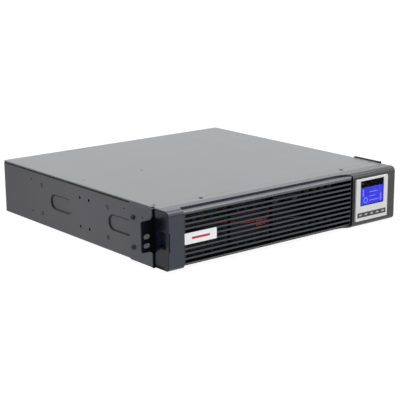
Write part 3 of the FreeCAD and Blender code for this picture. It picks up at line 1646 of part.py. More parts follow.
def fan_guards():
    """Wire finger guards over the fans."""
    guards = []
    wire_y = "rear_face + guard_y"
    radii = ["guard_first + %d * guard_pitch" % number for number in range(3)]
    for fan_x, tag in (("fan_left_x", "left"), ("fan_right_x", "right")):
        wires = []
        for radius in radii + ["fan_hole_radius"]:
            wires.append(ring("guard_ring_%s_%d" % (tag, len(wires)), radius, "guard_wire", fan_x,
                              wire_y, "fan_z", "+y"))
        wires.append(rod("guard_bar_" + tag, "guard_wire", "fan_size", fan_x + " - fan_size / 2",
                         wire_y, "fan_z", "+x"))
        wires.append(rod("guard_post_" + tag, "guard_wire", "fan_size", fan_x, wire_y,
                         "fan_z - fan_size / 2", "+z"))
        guards.append(join("guard_" + tag, wires))
    keep(group("fan_guards", guards))


def power_inlet():
    """Three-pin mains inlet with its flange outside the panel."""
    inlet = plate("power_inlet", around("inlet_x", "inlet_half_width"),
                  ("rear_face - inlet_depth", "rear_face"), around("inlet_z", "inlet_half_height"))
    flange = sketch(inlet, "XZ_Plane", "rear_face")
    rectangle(flange, around("inlet_x", "inlet_flange_width"),
              around("inlet_z", "inlet_flange_height"))
    pad(inlet, flange, "inlet_flange")
    ends = [mirrored(side, "inlet_flange_width") + " + inlet_x" for side in (-1, 1)]
    round_edges(inlet, "inlet_round", lambda edge: runs(edge, "y") and any(
        lies(edge, x=end) for end in ends))
    cavity = sketch(inlet, "XZ_Plane", "rear_face + inlet_flange")
    outlet_outline(cavity, "inlet_x", "inlet_z", "cavity_half_width", "cavity_half_height")
    pocket(inlet, cavity, "cavity_depth", -1)
    pins = sketch(inlet, "XZ_Plane", "rear_face + inlet_flange - cavity_depth - pin_root")
    for pin_x, low in (("inlet_x - pin_pitch", "inlet_z - pin_height"), ("inlet_x", "inlet_z"),
                       ("inlet_x + pin_pitch", "inlet_z - pin_height")):
        rectangle(pins, around(pin_x, "pin_half"), (low, low + " + pin_height"))
    pad(inlet, pins, "pin_length")
    return keep(inlet)


OUTLET_COLUMNS = 3


def outlet_block():
    """Six mains outlets in one moulding, each with a moat around its three-slot core."""
    across, upright = outlet_block_box()
    base = "rear_face + outlet_base"
    face = base + " + outlet_rim_depth"
    strip = plate("outlet_block", across, ("rear_face - outlet_depth", base), upright)
    rim = sketch(strip, "XZ_Plane", base)
    rectangle(rim, widened(across, "outlet_rim"), widened(upright, "outlet_rim"))
    pad(strip, rim, "outlet_rim_depth")
    moats = sketch(strip, "XZ_Plane", face)
    cores = sketch(strip, "XZ_Plane", "rear_face - core_depth")
    slits = sketch(strip, "XZ_Plane", "rear_face")
    for column in range(OUTLET_COLUMNS):
        middle = "outlet_x + %d * outlet_pitch_x" % column
        for row in ("outlet_low_z", "outlet_high_z"):
            outlet_outline(moats, middle, row, "moat_half_width", "moat_half_height")
            outlet_outline(cores, middle, row, "core_half_width", "core_half_height")
            for slit_x, slit_z in ((" - slit_pitch", " - slit_drop"), ("", " + slit_rise"),
                                   (" + slit_pitch", " - slit_drop")):
                rectangle(slits, around(middle + slit_x, "slit_half_width"),
                          around(row + slit_z, "slit_half_height"))
    pocket(strip, moats, "moat_depth", -1)
    pad(strip, cores, "core_depth")
    pocket(strip, slits, "outlet_slit_depth", -1)
    ends = widened(across, "outlet_rim")
    round_edges(strip, "outlet_rim_round", lambda edge: runs(edge, "y") and any(
        lies(edge, x=end) for end in ends))
    return keep(strip)


def outlet_outline(drawing, middle, row, half_long, half_tall):
    """A mains socket's outline: a rectangle with its two top corners cut off."""
    left, right = around(middle, half_long)
    low, high = around(row, half_tall)
    polygon(drawing, [
        (left, low), (right, low), (right, high + " - corner_cut"), (right + " - corner_cut", high),
        (left + " + corner_cut", high), (left, high + " - corner_cut"),
    ])


def breaker():
    """Resettable circuit breaker with a push button."""
    back = "rear_face - breaker_back"
    case = block("breaker_case", around("inlet_x", "breaker_half"),
                 ("rear_face - breaker_front", back), around("breaker_z", "breaker_half"))
    neck = rod("breaker_neck", "breaker_neck", "breaker_back + breaker_nut_depth", "inlet_x", back,
               "breaker_z", "+y")
    nut = rod("breaker_nut", "breaker_nut", "breaker_nut_depth", "inlet_x", "rear_face",
              "breaker_z", "+y")
    bore = rod("breaker_bore", "breaker_bore", "breaker_bore_start + proud", "inlet_x",
               "rear_face - breaker_bore_start", "breaker_z", "+y")
    keep(cut("breaker", join("breaker_solid", [case, neck, nut]), [bore]))
    stem = rod("breaker_stem", "key_stem_radius", "key_stem_start + proud", "inlet_x",
               "rear_face - key_stem_start", "breaker_z", "+y")
    keep(soften("breaker_button", stem, "key_stem_round",
                lambda edge: lies(edge, y="rear_face + proud")))


def port_shell(port):
    """The outside of a port, standing a little out of the panel."""
    across, upright = port_box(port)
    return block(port + "_case", across,
                 ("rear_face - %s_depth" % port, "rear_face + port_proud"), upright)


def comm_ports():
    """Serial, data and network sockets."""
    outside = "rear_face + port_proud"
    across, upright = port_box("serial")
    core = block("serial_core", widened(across, "-serial_core_inset"),
                 (outside, outside + " + serial_core_depth"), widened(upright, "-serial_core_drop"))
    pins = []
    for height, count in (("serial_row_high", 5), ("serial_row_low", 4)):
        for number in range(count):
            pin_x = "(serial_left + serial_right) / 2 + %.1f * serial_pin_pitch" % (
                number - (count - 1) / 2)
            pins.append(rod("serial_pin_%d" % len(pins), "serial_pin", "serial_pin_length",
                            pin_x, "rear_face", height, "+y"))
    serial = cut("serial_port", join("serial_solid", [port_shell("serial"), core]), pins)
    across, upright = port_box("data")
    mouth = ("rear_face - data_cavity", outside + " + 1")
    hole = block("data_hole", widened(across, "-data_wall"), mouth, widened(upright, "-data_wall"))
    tongue = block("data_tongue", widened(across, "-data_tongue_inset"),
                   ("rear_face - data_cavity", "rear_face"), widened(upright, "-data_tongue_drop"))
    data = join("data_port", [cut("data_shell", port_shell("data"), [hole]), tongue])
    across, upright = port_box("network")
    hole = block("network_hole", widened(across, "-network_inset"),
                 ("rear_face - network_cavity", outside + " + 1"),
                 widened(upright, "-network_drop"))
    network = cut("network_port", port_shell("network"), [hole])
    keep(group("comm_ports", [serial, data, network]))


def slot_cover():
    """Blank plate over the slot for an accessory card."""
    cover = plate("slot_cover", ("blank_left", "blank_right"),
                  ("rear_face", "rear_face + blank_depth"), ("blank_low", "blank_high"))
    round_edges(cover, "blank_round", lambda edge: runs(edge, "y"))
    holes = sketch(cover, "XZ_Plane", "rear_face")
    for across in BLANK_SCREWS:
        circle(holes, across, BLANK_MIDDLE, "screw_hole_radius")
    pocket(cover, holes, "blank_depth", 1)
    return keep(cover)


def build():
    """Make every sub-part."""
    chassis_base()
    top_cover()
    front_frame()
    ear_bracket("ear_bracket_left", -1)
    ear_bracket("ear_bracket_right", 1)
    fasteners()
    bezel_frame()
    grille_panel()
    name_plate()
    display_frame()
    display_inside()
    for number in range(KEYS):
        button(number)
    display_boss()
    display_board()
    battery_tray()
    battery_pack()
    service_link()
    battery_leads()
    tray_extras()
    battery_bay()
    boards()
    heatsinks()
    power_parts()
    rear_panel()
    fan("fan_left", "fan_left_x")
    fan("fan_right", "fan_right_x")
    fan_guards()
    power_inlet()
    outlet_block()
    breaker()
    comm_ports()
    slot_cover()


def check():
    """Stop if anything failed, is empty or invalid, or if a pocket took nothing away."""
    faults = []
    for thing in doc.Objects:
        if "Invalid" in thing.State or "Error" in thing.State:
            faults.append("%s failed: %s" % (thing.Name, thing.State))
        elif thing.TypeId == "PartDesign::Pocket":
            if thing.Shape.Volume > thing.BaseFeature.Shape.Volume - 0.1:
                faults.append("%s takes nothing away" % thing.Name)
    for node in NODES:
        if node.Shape.isNull() or not node.Shape.isValid() or not node.Shape.Solids:
            faults.append("%s has no valid solid" % node.Label)
    if faults:
        raise RuntimeError("; ".join(faults))


def write():
    os.makedirs("parts", exist_ok=True)
    for node in NODES:
        node.Shape.exportStep("parts/%s.step" % node.Label)
        print("%-22s solids %2d  volume %10.1f" % (
            node.Label, len(node.Shape.Solids), node.Shape.Volume))
    print(len(NODES), "nodes")


build()
doc.recompute()
check()
write()
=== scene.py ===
import math

import bmesh
import bpy
from mathutils import Matrix, Vector


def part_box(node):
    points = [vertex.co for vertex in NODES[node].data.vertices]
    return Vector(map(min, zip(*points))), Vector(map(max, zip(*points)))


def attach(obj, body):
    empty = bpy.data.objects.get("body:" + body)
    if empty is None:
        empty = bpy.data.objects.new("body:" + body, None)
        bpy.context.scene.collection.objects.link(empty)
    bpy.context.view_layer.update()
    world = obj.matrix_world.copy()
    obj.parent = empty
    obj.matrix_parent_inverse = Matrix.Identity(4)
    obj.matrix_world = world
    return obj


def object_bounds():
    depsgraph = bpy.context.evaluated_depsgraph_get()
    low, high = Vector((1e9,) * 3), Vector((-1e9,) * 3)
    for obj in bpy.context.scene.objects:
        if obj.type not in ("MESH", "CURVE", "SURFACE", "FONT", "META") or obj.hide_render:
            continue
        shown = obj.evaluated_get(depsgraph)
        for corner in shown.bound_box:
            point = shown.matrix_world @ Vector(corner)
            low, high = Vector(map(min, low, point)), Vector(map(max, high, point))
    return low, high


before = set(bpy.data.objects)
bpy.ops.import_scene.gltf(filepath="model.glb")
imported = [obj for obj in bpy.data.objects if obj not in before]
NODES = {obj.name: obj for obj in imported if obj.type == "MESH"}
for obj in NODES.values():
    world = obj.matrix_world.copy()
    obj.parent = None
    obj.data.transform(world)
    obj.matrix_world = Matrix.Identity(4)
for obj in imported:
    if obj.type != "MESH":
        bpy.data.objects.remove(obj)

CAD_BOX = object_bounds()
MM = 0.001
KEY_COUNT = 5
BATTERY_COUNT = 4

# Grains per metre of the noises that several finishes share
PATCHES = 14
SMUDGES = 30
CLOUDS = 40
RUBS = 60
PEEL = 1500
ETCHING = 2600

# Height of the orange peel on paint and of the grain on plastic
PEEL_DEPTH = 0.02 * MM
ETCH_DEPTH = 0.03 * MM


# Node-tree helpers

class Finish:
    """A Principled material and the procedural nodes that feed it."""

    def __init__(self, name, colour, roughness, metallic=0.0, **sockets):
        self.material = bpy.data.materials.new(name)
        self.material.use_nodes = True
        self.nodes = self.material.node_tree.nodes
        self.links = self.material.node_tree.links
        self.shader = self.nodes["Principled BSDF"]
        self.colour = colour
        self.shader.inputs["Base Color"].default_value = (*colour, 1)
        self.shader.inputs["Roughness"].default_value = roughness
        self.shader.inputs["Metallic"].default_value = metallic
        for socket, amount in sockets.items():
            self.shader.inputs[socket.replace("_", " ")].default_value = amount
        position = self.nodes.new("ShaderNodeTexCoord")
        self.place = position.outputs["Object"]
        self.facing = position.outputs["Normal"]
        self.normal = None

    def add(self, kind, **inputs):
        """A node with its inputs set, or joined to another node's output."""
        node = self.nodes.new(kind)
        for name, value in inputs.items():
            self.feed(node.inputs[name.replace("_", " ")], value)
        return node

    def feed(self, socket, value):
        """Join an output to an input, or set the input to a plain value."""
        if isinstance(value, bpy.types.NodeSocket):
            self.links.new(value, socket)
        else:
            socket.default_value = value

    def noise(self, scale, detail=2.0, roughness=0.5, stretch=(1, 1, 1)):
        """Noise whose grains are about 1 / scale metres across."""
        mapping = self.add("ShaderNodeMapping", Vector=self.place, Scale=stretch)
        node = self.add("ShaderNodeTexNoise", Vector=mapping.outputs[0], Scale=scale,
                        Detail=detail, Roughness=roughness)
        return node.outputs["Fac"]

    def ramp(self, factor, stops):
        """A colour ramp through (position, colour) stops."""
        node = self.add("ShaderNodeValToRGB", Fac=factor)
        elements = node.color_ramp.elements
        while len(elements) < len(stops):
            elements.new(0.5)
        for element, (position, colour) in zip(elements, stops):
            element.position = position
            element.color = (*colour, 1)
        return node.outputs["Color"]

    def tones(self, factor, dark, light):
        """Two tones of a colour, spread by a factor."""
        return self.ramp(factor, [(0.3, dark), (0.7, light)])

    def mottle(self, factor, amount):
        """Vary the colour a little, darker and lighter, with a factor."""
        dark = tuple(part * (1 - amount) for part in self.colour)
        light = tuple(min(1.0, part * (1 + amount)) for part in self.colour)
        self.paint(self.tones(factor, dark, light))

    def paint(self, colour):
        """Give the shader a colour that changes over the surface."""
        self.links.new(colour, self.shader.inputs["Base Color"])

    def darken_reflection(self, factor):
        """Turn the surface to metal by a factor, so that where the colour is near black it
        reflects almost nothing: this takes the reflection out of painted shade.
        """
        self.links.new(factor, self.shader.inputs["Metallic"])

    def vary_roughness(self, factor, low, high):
        """Spread the roughness between two amounts, by a factor."""
        self.links.new(self.fade(factor, 0, 1, low, high), self.shader.inputs["Roughness"])

    def bump(self, height, depth, strength=1.0):
        """Raise the surface by a height map, depth in metres. Calls build on each other."""
        node = self.add("ShaderNodeBump", Height=height, Distance=depth, Strength=strength)
        if self.normal is not None:
            self.links.new(self.normal, node.inputs["Normal"])
        self.normal = node.outputs["Normal"]
        self.links.new(self.normal, self.shader.inputs["Normal"])

    def baked(self, low, high, depth=PEEL_DEPTH, strength=0.5):
        """The surface of baked paint: faint handling marks and orange peel."""
        self.vary_roughness(self.noise(SMUDGES, 5), low, high)
        self.bump(self.noise(PEEL, 2), depth, strength)

    def etched(self, low, high, grain=ETCHING, depth=ETCH_DEPTH):
        """The surface of moulded plastic: rubbed in places, with a fine grain."""
        self.vary_roughness(self.noise(RUBS, 4), low, high)
        self.bump(self.noise(grain, 3, 0.6), depth, 0.6)

    def axis(self, letter, vector=None):
        """One coordinate of the surface point in metres, or of another vector."""
        parts = self.add("ShaderNodeSeparateXYZ", Vector=vector or self.place)
        return parts.outputs[letter]

    def blend(self, factor, first, second):
        """Mix two colours, each a socket or a plain colour."""
        node = self.nodes.new("ShaderNodeMix")
        node.data_type = "RGBA"
        self.links.new(factor, node.inputs["Factor"])
        for socket, colour in ((node.inputs[6], first), (node.inputs[7], second)):
            plain = not isinstance(colour, bpy.types.NodeSocket)
            self.feed(socket, (*colour, 1) if plain else colour)
        return node.outputs[2]

    def fade(self, value, start, end, low=0.0, high=1.0):
        """An amount that goes from low to high while a value goes from start to end."""
        node = self.add("ShaderNodeMapRange", Value=value, From_Min=start, From_Max=end,
                        To_Min=low, To_Max=high)
        return node.outputs["Result"]

    def math(self, operation, first, second=0.0):
        """The result of one sum on two values, each a socket or a number."""
        node = self.nodes.new("ShaderNodeMath")
        node.operation = operation
        for socket, value in zip(node.inputs, (first, second)):
            self.feed(socket, value)
        return node.outputs[0]

    def over(self, value, limit):
        """1 where a value is over a limit, and 0 elsewhere."""
        return self.math("GREATER_THAN", value, limit)

    def under(self, value, limit):
        """1 where a value is under a limit, and 0 elsewhere."""
        return self.math("LESS_THAN", value, limit)

    def both(self, first, second):
        """Two factors at once, or one factor weakened by a number."""
        return self.math("MULTIPLY", first, second)

    def either(self, first, second):
        """The stronger of two factors."""
        return self.math("MAXIMUM", first, second)

    def rest_of(self, factor):
        """What a factor leaves."""
        return self.math("SUBTRACT", 1.0, factor)

    def from_middle(self, value):
        """The distance from zero, on either side."""
        return self.math("ABSOLUTE", value)


# Finishes. Colours are linear red, green and blue, and places are in metres.

def cover_paint():
    """Baked grey paint with fine orange peel, lighter than the case paint, partly as a painted
    sheen for the light that the top catches.
    """
    # Painted sheen: this grey is lighter than the case paint, standing in part for the light the
    # top catches.
    finish = Finish("cover_paint", (0.140, 0.140, 0.140), 0.36)
    finish.mottle(finish.noise(PATCHES, 4), 0.03)
    finish.baked(0.34, 0.38, PEEL_DEPTH / 2, 0.4)
    return finish.material


def case_paint():
    """Case paint, with painted shade toward the rear, in the pressed edges and under the lid."""
    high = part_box("chassis_base")[1]
    dark, light = (0.048, 0.048, 0.055), (0.052, 0.052, 0.060)
    # Painted shade: the colour the case darkens to at the rear, and the near black of the shade
    # under the lid and in the pressings.
    rear, shaded = (0.014, 0.014, 0.018), (0.004, 0.004, 0.005)
    wall_inside = high.x - 4 * MM
    lid_seam = high.z - 1.6 * MM
    flat, steep = 0.99, 0.80

    finish = Finish("case_paint", (0.050, 0.050, 0.057), 0.42, Specular_IOR_Level=0.4)
    paint = finish.tones(finish.noise(PATCHES, 4), dark, light)
    # Painted shade, deeper toward the rear.
    rear_shading = finish.fade(finish.axis("Y"), 0, high.y, 0, 0.8)
    paint = finish.blend(rear_shading, paint, rear)
    # Painted shade under the lid's edge and on the sloped sides of the pressed recesses.
    under_lid = finish.over(finish.axis("Z"), lid_seam)
    sideways = finish.from_middle(finish.axis("X", finish.facing))
    on_wall = finish.over(finish.from_middle(finish.axis("X")), wall_inside)
    pressed = finish.both(finish.fade(sideways, flat, steep), on_wall)
    shade = finish.either(under_lid, finish.both(pressed, 0.8))
    finish.paint(finish.blend(shade, paint, shaded))
    finish.darken_reflection(finish.both(shade, 0.8))
    finish.baked(0.40, 0.44)
    return finish.material


def ear_paint():
    """Rack ear: case paint on the plate, and painted shade, nearly black, on the tab that faces
    forward.
    """
    dark, light = (0.041, 0.043, 0.049), (0.044, 0.046, 0.053)
    # Painted shade on the forward-facing tab, nearly black.
    tab_shade = (0.007, 0.008, 0.011)
    tab_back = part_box("ear_bracket_left")[0].y + 2.2 * MM

    finish = Finish("ear_paint", (0.042, 0.044, 0.050), 0.36, Specular_IOR_Level=0.35)
    plate = finish.tones(finish.noise(PATCHES, 4), dark, light)
    # The tab gets painted shade, and its reflection is taken out.
    tab = finish.under(finish.axis("Y"), tab_back)
    finish.paint(finish.blend(tab, plate, tab_shade))
    finish.darken_reflection(finish.both(tab, 0.75))
    finish.baked(0.34, 0.38)
    return finish.material


def tray_paint():
    """Black tray paint, with painted shade on its front that deepens toward the right."""
    dark, light = (0.010, 0.010, 0.012), (0.020, 0.020, 0.024)
    # Painted shade on the tray's front, deepest toward the right.
    front_shade = (0.0008, 0.0008, 0.0012)
    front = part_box("battery_tray")[0].y
    shade_end = front + 12 * MM
    fade_left, fade_right = -60 * MM, 40 * MM
    wear_grain = 25

    finish = Finish("tray_paint", (0.020, 0.020, 0.022), 0.5)
    # The painted shade fades out going back from the front and toward the left.
    behind = finish.fade(finish.axis("Y"), front, shade_end)
    leftward = finish.fade(finish.axis("X"), fade_left, fade_right, 0.5, 0.0)
    unshaded = finish.either(behind, leftward)
    worn = finish.tones(finish.noise(wear_grain, 4), dark, light)
    finish.paint(finish.blend(unshaded, front_shade, worn))
    finish.darken_reflection(finish.rest_of(unshaded))
    finish.vary_roughness(finish.noise(RUBS, 4), 0.45, 0.55)
    finish.bump(finish.noise(PEEL, 2), PEEL_DEPTH, 0.5)
    return finish.material


def moulded(name, colour, roughness, grain=ETCHING, depth=ETCH_DEPTH, **sockets):
    """Moulded plastic with a fine etched grain."""
    finish = Finish(name, colour, roughness, **sockets)
    finish.mottle(finish.noise(CLOUDS, 3), 0.04)
    finish.etched(roughness - 0.015, roughness + 0.025, grain, depth)
    return finish.material


def louvred():
    """Moulded panel: a painted highlight along the crown of its top, and painted shade on its
    bottom lip and where the slats run back.
    """
    low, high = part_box("grille_panel")
    dark, light = (0.022, 0.026, 0.036), (0.024, 0.028, 0.040)
    shaded = (0.0010, 0.0010, 0.0015)
    crown_foot = high.z - 5.5 * MM
    # Painted highlight along the crown of the top band, with painted shade at its foot.
    crown_light_and_shade = [(0.0, (0.010, 0.011, 0.014)), (0.45, (0.024, 0.026, 0.034)),
                   (0.68, (0.098, 0.099, 0.110)), (0.92, (0.100, 0.101, 0.112)),
                   (1.0, (0.022, 0.026, 0.036))]
    lip_top = low.z + 4 * MM
    slat_face, slat_back = low.y + 0.3 * MM, low.y + 1.6 * MM

    finish = Finish("louvre_plastic", (0.023, 0.027, 0.038), 0.25)
    height = finish.axis("Z")
    slats = finish.under(height, crown_foot)
    # Painted shade on the bottom lip and where the slats run back into the panel.
    behind = finish.both(slats, finish.fade(finish.axis("Y"), slat_face, slat_back))
    shade = finish.either(finish.under(height, lip_top), behind)
    rise = finish.fade(height, crown_foot, high.z)
    face = finish.tones(finish.noise(CLOUDS, 3), dark, light)
    face = finish.blend(slats, finish.ramp(rise, crown_light_and_shade), face)
    finish.paint(finish.blend(shade, face, shaded))
    # The reflection is taken out at the foot of the crown, as painted shade.
    crown_foot_shade = finish.both(finish.rest_of(slats), finish.fade(rise, 0.55, 0.0, 0.0, 0.35))
    finish.darken_reflection(finish.either(shade, crown_foot_shade))
    finish.etched(0.23, 0.27)
    return finish.material


def bezel_plastic():
    """Moulded front frame with a painted bluish reflection at the left that fades toward the
    right, and painted shade on its ends and on the rail under the slats.
    """
    low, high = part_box("bezel_frame")
    # The blue in these tones is a painted reflection, which fades to plain grey toward the right.
    dark, light = (0.014, 0.020, 0.036), (0.016, 0.022, 0.040)
    unreflected_grey, shaded = (0.022, 0.022, 0.022), (0.002, 0.002, 0.003)
    end_face = high.x - 0.6 * MM
    rail_front, rail_top = low.y + 10 * MM, low.z + 5 * MM

    finish = Finish("bezel_plastic", (0.015, 0.021, 0.038), 0.26)
    face = finish.tones(finish.noise(CLOUDS, 3), dark, light)
    rightward = finish.fade(finish.axis("X"), low.x, high.x)
    face = finish.blend(rightward, face, unreflected_grey)
    # Painted shade on both ends of the frame and on the rail under the slats.
    end = finish.over(finish.from_middle(finish.axis("X")), end_face)
    rail = finish.both(finish.over(finish.axis("Y"), rail_front),
                       finish.under(finish.axis("Z"), rail_top))
    shade = finish.either(finish.both(end, 0.6), rail)
    finish.paint(finish.blend(shade, face, shaded))
    finish.darken_reflection(shade)
    finish.etched(0.25, 0.29)
    return finish.material


def brushed(name, colour, roughness, stretch):
    """Metal with fine drawn lines, which run along the axis with the least stretch."""
    finish = Finish(name, colour, roughness, metallic=1.0)
    lines = finish.noise(90, 4, 0.7, stretch)
    finish.mottle(lines, 0.12)
    finish.vary_roughness(lines, roughness - 0.08, roughness + 0.1)
    finish.bump(lines, 0.03 * MM)
    return finish.material


def plated(name, colour, roughness):
    """Zinc or black plating on screws and pressings."""
    finish = Finish(name, colour, roughness, metallic=1.0)
    finish.mottle(finish.noise(220, 3), 0.15)
    finish.vary_roughness(finish.noise(300, 3), roughness - 0.06, roughness + 0.12)
    finish.bump(finish.noise(1200, 2), 0.03 * MM)
    return finish.material


def laminate():
    """Green circuit board whose tracks show through the mask."""
    finish = Finish("laminate", (0.012, 0.11, 0.035), 0.35, Coat_Weight=0.4, Coat_Roughness=0.2)
    white, grey, black = (1, 1, 1, 1), (0.7, 0.7, 0.7, 1), (0, 0, 0, 1)
    bricks = finish.add("ShaderNodeTexBrick", Vector=finish.place, Scale=70.0, Color1=white,
                        Color2=grey, Mortar=black, Mortar_Size=0.06, Brick_Width=0.9,
                        Row_Height=0.33)
    pattern = bricks.outputs["Color"]
    finish.paint(finish.ramp(pattern, [(0.0, (0.03, 0.20, 0.06)), (0.4, (0.008, 0.085, 0.026)),
                                       (1.0, (0.014, 0.125, 0.04))]))
    finish.bump(pattern, 0.05 * MM)
    return finish.material


def liquid_crystal():
    """Backlit blue panel with a black edge and a black band along its top."""
    low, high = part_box("lcd_window")
    black = (0.0008, 0.0008, 0.001)
    dark, light = (0.052, 0.054, 0.80), (0.072, 0.078, 0.98)
    edge = 1.1 * MM
    lit_share = 0.722

    finish = Finish("liquid_crystal", (0.002, 0.002, 0.003), 0.4, Specular_IOR_Level=0.0)
    across, height = finish.axis("X"), finish.axis("Z")
    lit = finish.under(height, low.z + (high.z - low.z) * lit_share)
    for inside in (finish.over(across, low.x + edge), finish.over(height, low.z + edge),
                   finish.under(across, high.x - edge)):
        lit = finish.both(lit, inside)
    glow = finish.ramp(finish.noise(45, 2), [(0.35, dark), (0.65, light)])
    shown = finish.blend(lit, black, glow)
    finish.links.new(shown, finish.shader.inputs["Emission Color"])
    finish.shader.inputs["Emission Strength"].default_value = 0.95
    return finish.material


def glowing(name, colour, strength):
    """A lit surface, a little uneven."""
    finish = Finish(name, colour, 0.4)
    finish.mottle(finish.noise(400, 2), 0.1)
    finish.shader.inputs["Emission Color"].default_value = (*colour, 1)
    finish.shader.inputs["Emission Strength"].default_value = strength
    return finish.material


def clear_lens():
    """Clear smoked window, lightly rubbed."""
    finish = Finish("clear_lens", (0.003, 0.003, 0.004), 0.08, Specular_IOR_Level=0.2, Alpha=0.08)
    finish.mottle(finish.noise(90, 3), 0.3)
    finish.vary_roughness(finish.noise(CLOUDS, 3), 0.05, 0.11)
    return finish.material


def winding():
    """Enamelled wire wound round a ring."""
    finish = Finish("winding", (0.35, 0.10, 0.03), 0.3, metallic=0.7)
    turns = finish.noise(500, 2, 0.5, (1, 1, 0.2))
    finish.mottle(turns, 0.35)
    finish.bump(turns, 0.4 * MM)
    return finish.material


def sleeve():
    """Glossy shrink sleeve of a capacitor."""
    finish = Finish("sleeve", (0.012, 0.016, 0.045), 0.3, Coat_Weight=0.3)
    finish.mottle(finish.noise(120, 2), 0.15)
    finish.bump(finish.noise(300, 2), 0.08 * MM)
    return finish.material


def numbered(name, count):
    """The names of a row of like nodes."""
    return ["%s_%d" % (name, number) for number in range(1, count + 1)]


def finishes():
    """The material of each CAD node."""
    by_material = {
        case_paint(): ["chassis_base", "rear_panel", "slot_cover", "battery_bay",
                       "side_screws"],
        cover_paint(): ["top_cover", "front_frame"],
        ear_paint(): ["ear_bracket_left", "ear_bracket_right"],
        tray_paint(): ["battery_tray"],
        bezel_plastic(): ["bezel_frame"],
        louvred(): ["grille_panel"],
        moulded("silver_plastic", (0.64, 0.635, 0.625), 0.30, 3000, Metallic=0.15): [
            "display_frame"],
        moulded("black_plastic", (0.010, 0.0105, 0.013), 0.45): [
            "display_boss", "display_back", "battery_plug", "battery_socket", "pull_tab",
            "fan_left_frame", "fan_right_frame", "fan_left_rotor", "fan_right_rotor",
            "power_inlet", "outlet_block", "breaker", "power_transistors"],
        moulded("strip_plastic", (0.018, 0.019, 0.023), 0.35): ["button_strip"],
        moulded("key_plastic", (0.075, 0.082, 0.088), 0.38): numbered("button", KEY_COUNT),
        moulded("battery_case", (0.020, 0.020, 0.022), 0.5, 1400, 0.12 * MM): (
            numbered("battery", BATTERY_COUNT)),
        moulded("red_plastic", (0.42, 0.004, 0.018), 0.32): [
            "service_link", "lead_red", "breaker_button"],
        moulded("wire_black", (0.012, 0.012, 0.014), 0.35, 900): ["lead_black"],
        moulded("label_plastic", (0.86, 0.86, 0.87), 0.35): ["name_plate"],
        moulded("ribbon_grey", (0.42, 0.42, 0.44), 0.45, 900): ["ribbon_cable"],
        moulded("relay_blue", (0.02, 0.07, 0.28), 0.4): ["relays"],
        plated("zinc_plate", (0.42, 0.42, 0.43), 0.36): [
            "rear_screws", "board_standoffs", "fan_guards", "hold_down_bars",
            "battery_terminals"],
        plated("black_plate", (0.035, 0.035, 0.038), 0.38): ["ear_screws"],
        plated("grey_plate", (0.22, 0.22, 0.22), 0.45): ["cover_screws"],
        plated("port_nickel", (0.55, 0.55, 0.54), 0.3): ["comm_ports"],
        brushed("sink_aluminium", (0.62, 0.63, 0.65), 0.34, (60, 1, 60)): ["heatsinks"],
        laminate(): ["main_board", "control_board", "display_board"],
        liquid_crystal(): ["lcd_panel"],
        clear_lens(): ["lcd_window"],
        glowing("indicator_green", (0.01, 0.16, 0.04), 0.25): ["status_led"],
        sleeve(): ["capacitors"],
        winding(): ["inductors"],
    }
    for material, names in by_material.items():
        for name in names:
            dress(NODES[name], material)


def dress(thing, material):
    """Put one material in every slot of a mesh."""
    if not thing.material_slots:
        thing.data.materials.append(material)
    for slot in thing.material_slots:
        slot.material = material


# Pieces made here

def mesh_object(name, shape, material, body):
    """Turn a bmesh into a piece that rides on a body."""
    mesh = bpy.data.meshes.new(name)
    shape.to_mesh(mesh)
    shape.free()
    piece = bpy.data.objects.new(name, mesh)
    bpy.context.scene.collection.objects.link(piece)
    mesh.materials.append(material)
    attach(piece, body)
    return piece


def add_box(shape, low, high):
    """A closed box between two corners."""
    middle = (Vector(low) + Vector(high)) / 2
    size = Vector(high) - Vector(low)
    turn = Matrix.Translation(middle) @ Matrix.Diagonal((*size, 1))
    bmesh.ops.create_cube(shape, size=1, matrix=turn)


def add_ring(shape, middle, outer, inner, low_y, high_y, steps=40):
    """A flat closed ring round an axis along Y, with its middle given in X and Z."""
    rows = []
    for radius, y in ((outer, low_y), (outer, high_y), (inner, high_y), (inner, low_y)):
        row = []
        for step in range(steps):
            angle = 2 * math.pi * step / steps
            x = middle[0] + radius * math.cos(angle)
            z = middle[1] + radius * math.sin(angle)
            row.append(shape.verts.new((x, y, z)))
        rows.append(row)
    for first, second in zip(rows, rows[1:] + rows[:1]):
        for step in range(steps):
            after = (step + 1) % steps
            shape.faces.new((first[step], first[after], second[after], second[step]))
    bmesh.ops.recalc_face_normals(shape, faces=shape.faces)


def lcd_segments():
    """Generic marks on the display: a ring, two columns of level bars, and dashes."""
    low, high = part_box("lcd_window")
    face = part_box("lcd_panel")[0].y
    back, front = face - 0.002 * MM, face - 0.03 * MM
    ring_outer, ring_inner = 4.4 * MM, 3.5 * MM
    bar_width, bar_height = 3.0 * MM, 1.2 * MM
    dash_height = 0.8 * MM
    # Places as shares of the window's width and height
    ring_spot = (0.24, 0.20)
    bar_feet = ((0.10, 0.38), (0.86, 0.10))
    bar_count, bar_pitch = 5, 0.06
    dash_ends = ((0.40, 0.80), (0.40, 0.66), (0.40, 0.74))
    dash_foot, dash_pitch = 0.16, 0.17

    def spot(u, v):
        """A point of the window, from shares of its width and height."""
        return low.x + u * (high.x - low.x), low.z + v * (high.z - low.z)

    shape = bmesh.new()
    add_ring(shape, spot(*ring_spot), ring_outer, ring_inner, front, back)
    for column, foot in bar_feet:
        for step in range(bar_count):
            x, z = spot(column, foot + bar_pitch * step)
            add_box(shape, (x, front, z), (x + bar_width, back, z + bar_height))
    for row, (start, end) in enumerate(dash_ends):
        left, z = spot(start, dash_foot + dash_pitch * row)
        right, _ = spot(end, 0)
        add_box(shape, (left, front, z), (right, back, z + dash_height))
    glow = glowing("lcd_mark", (0.20, 0.23, 0.86), 0.85)
    piece = mesh_object("lcd_segments", shape, glow, "display")


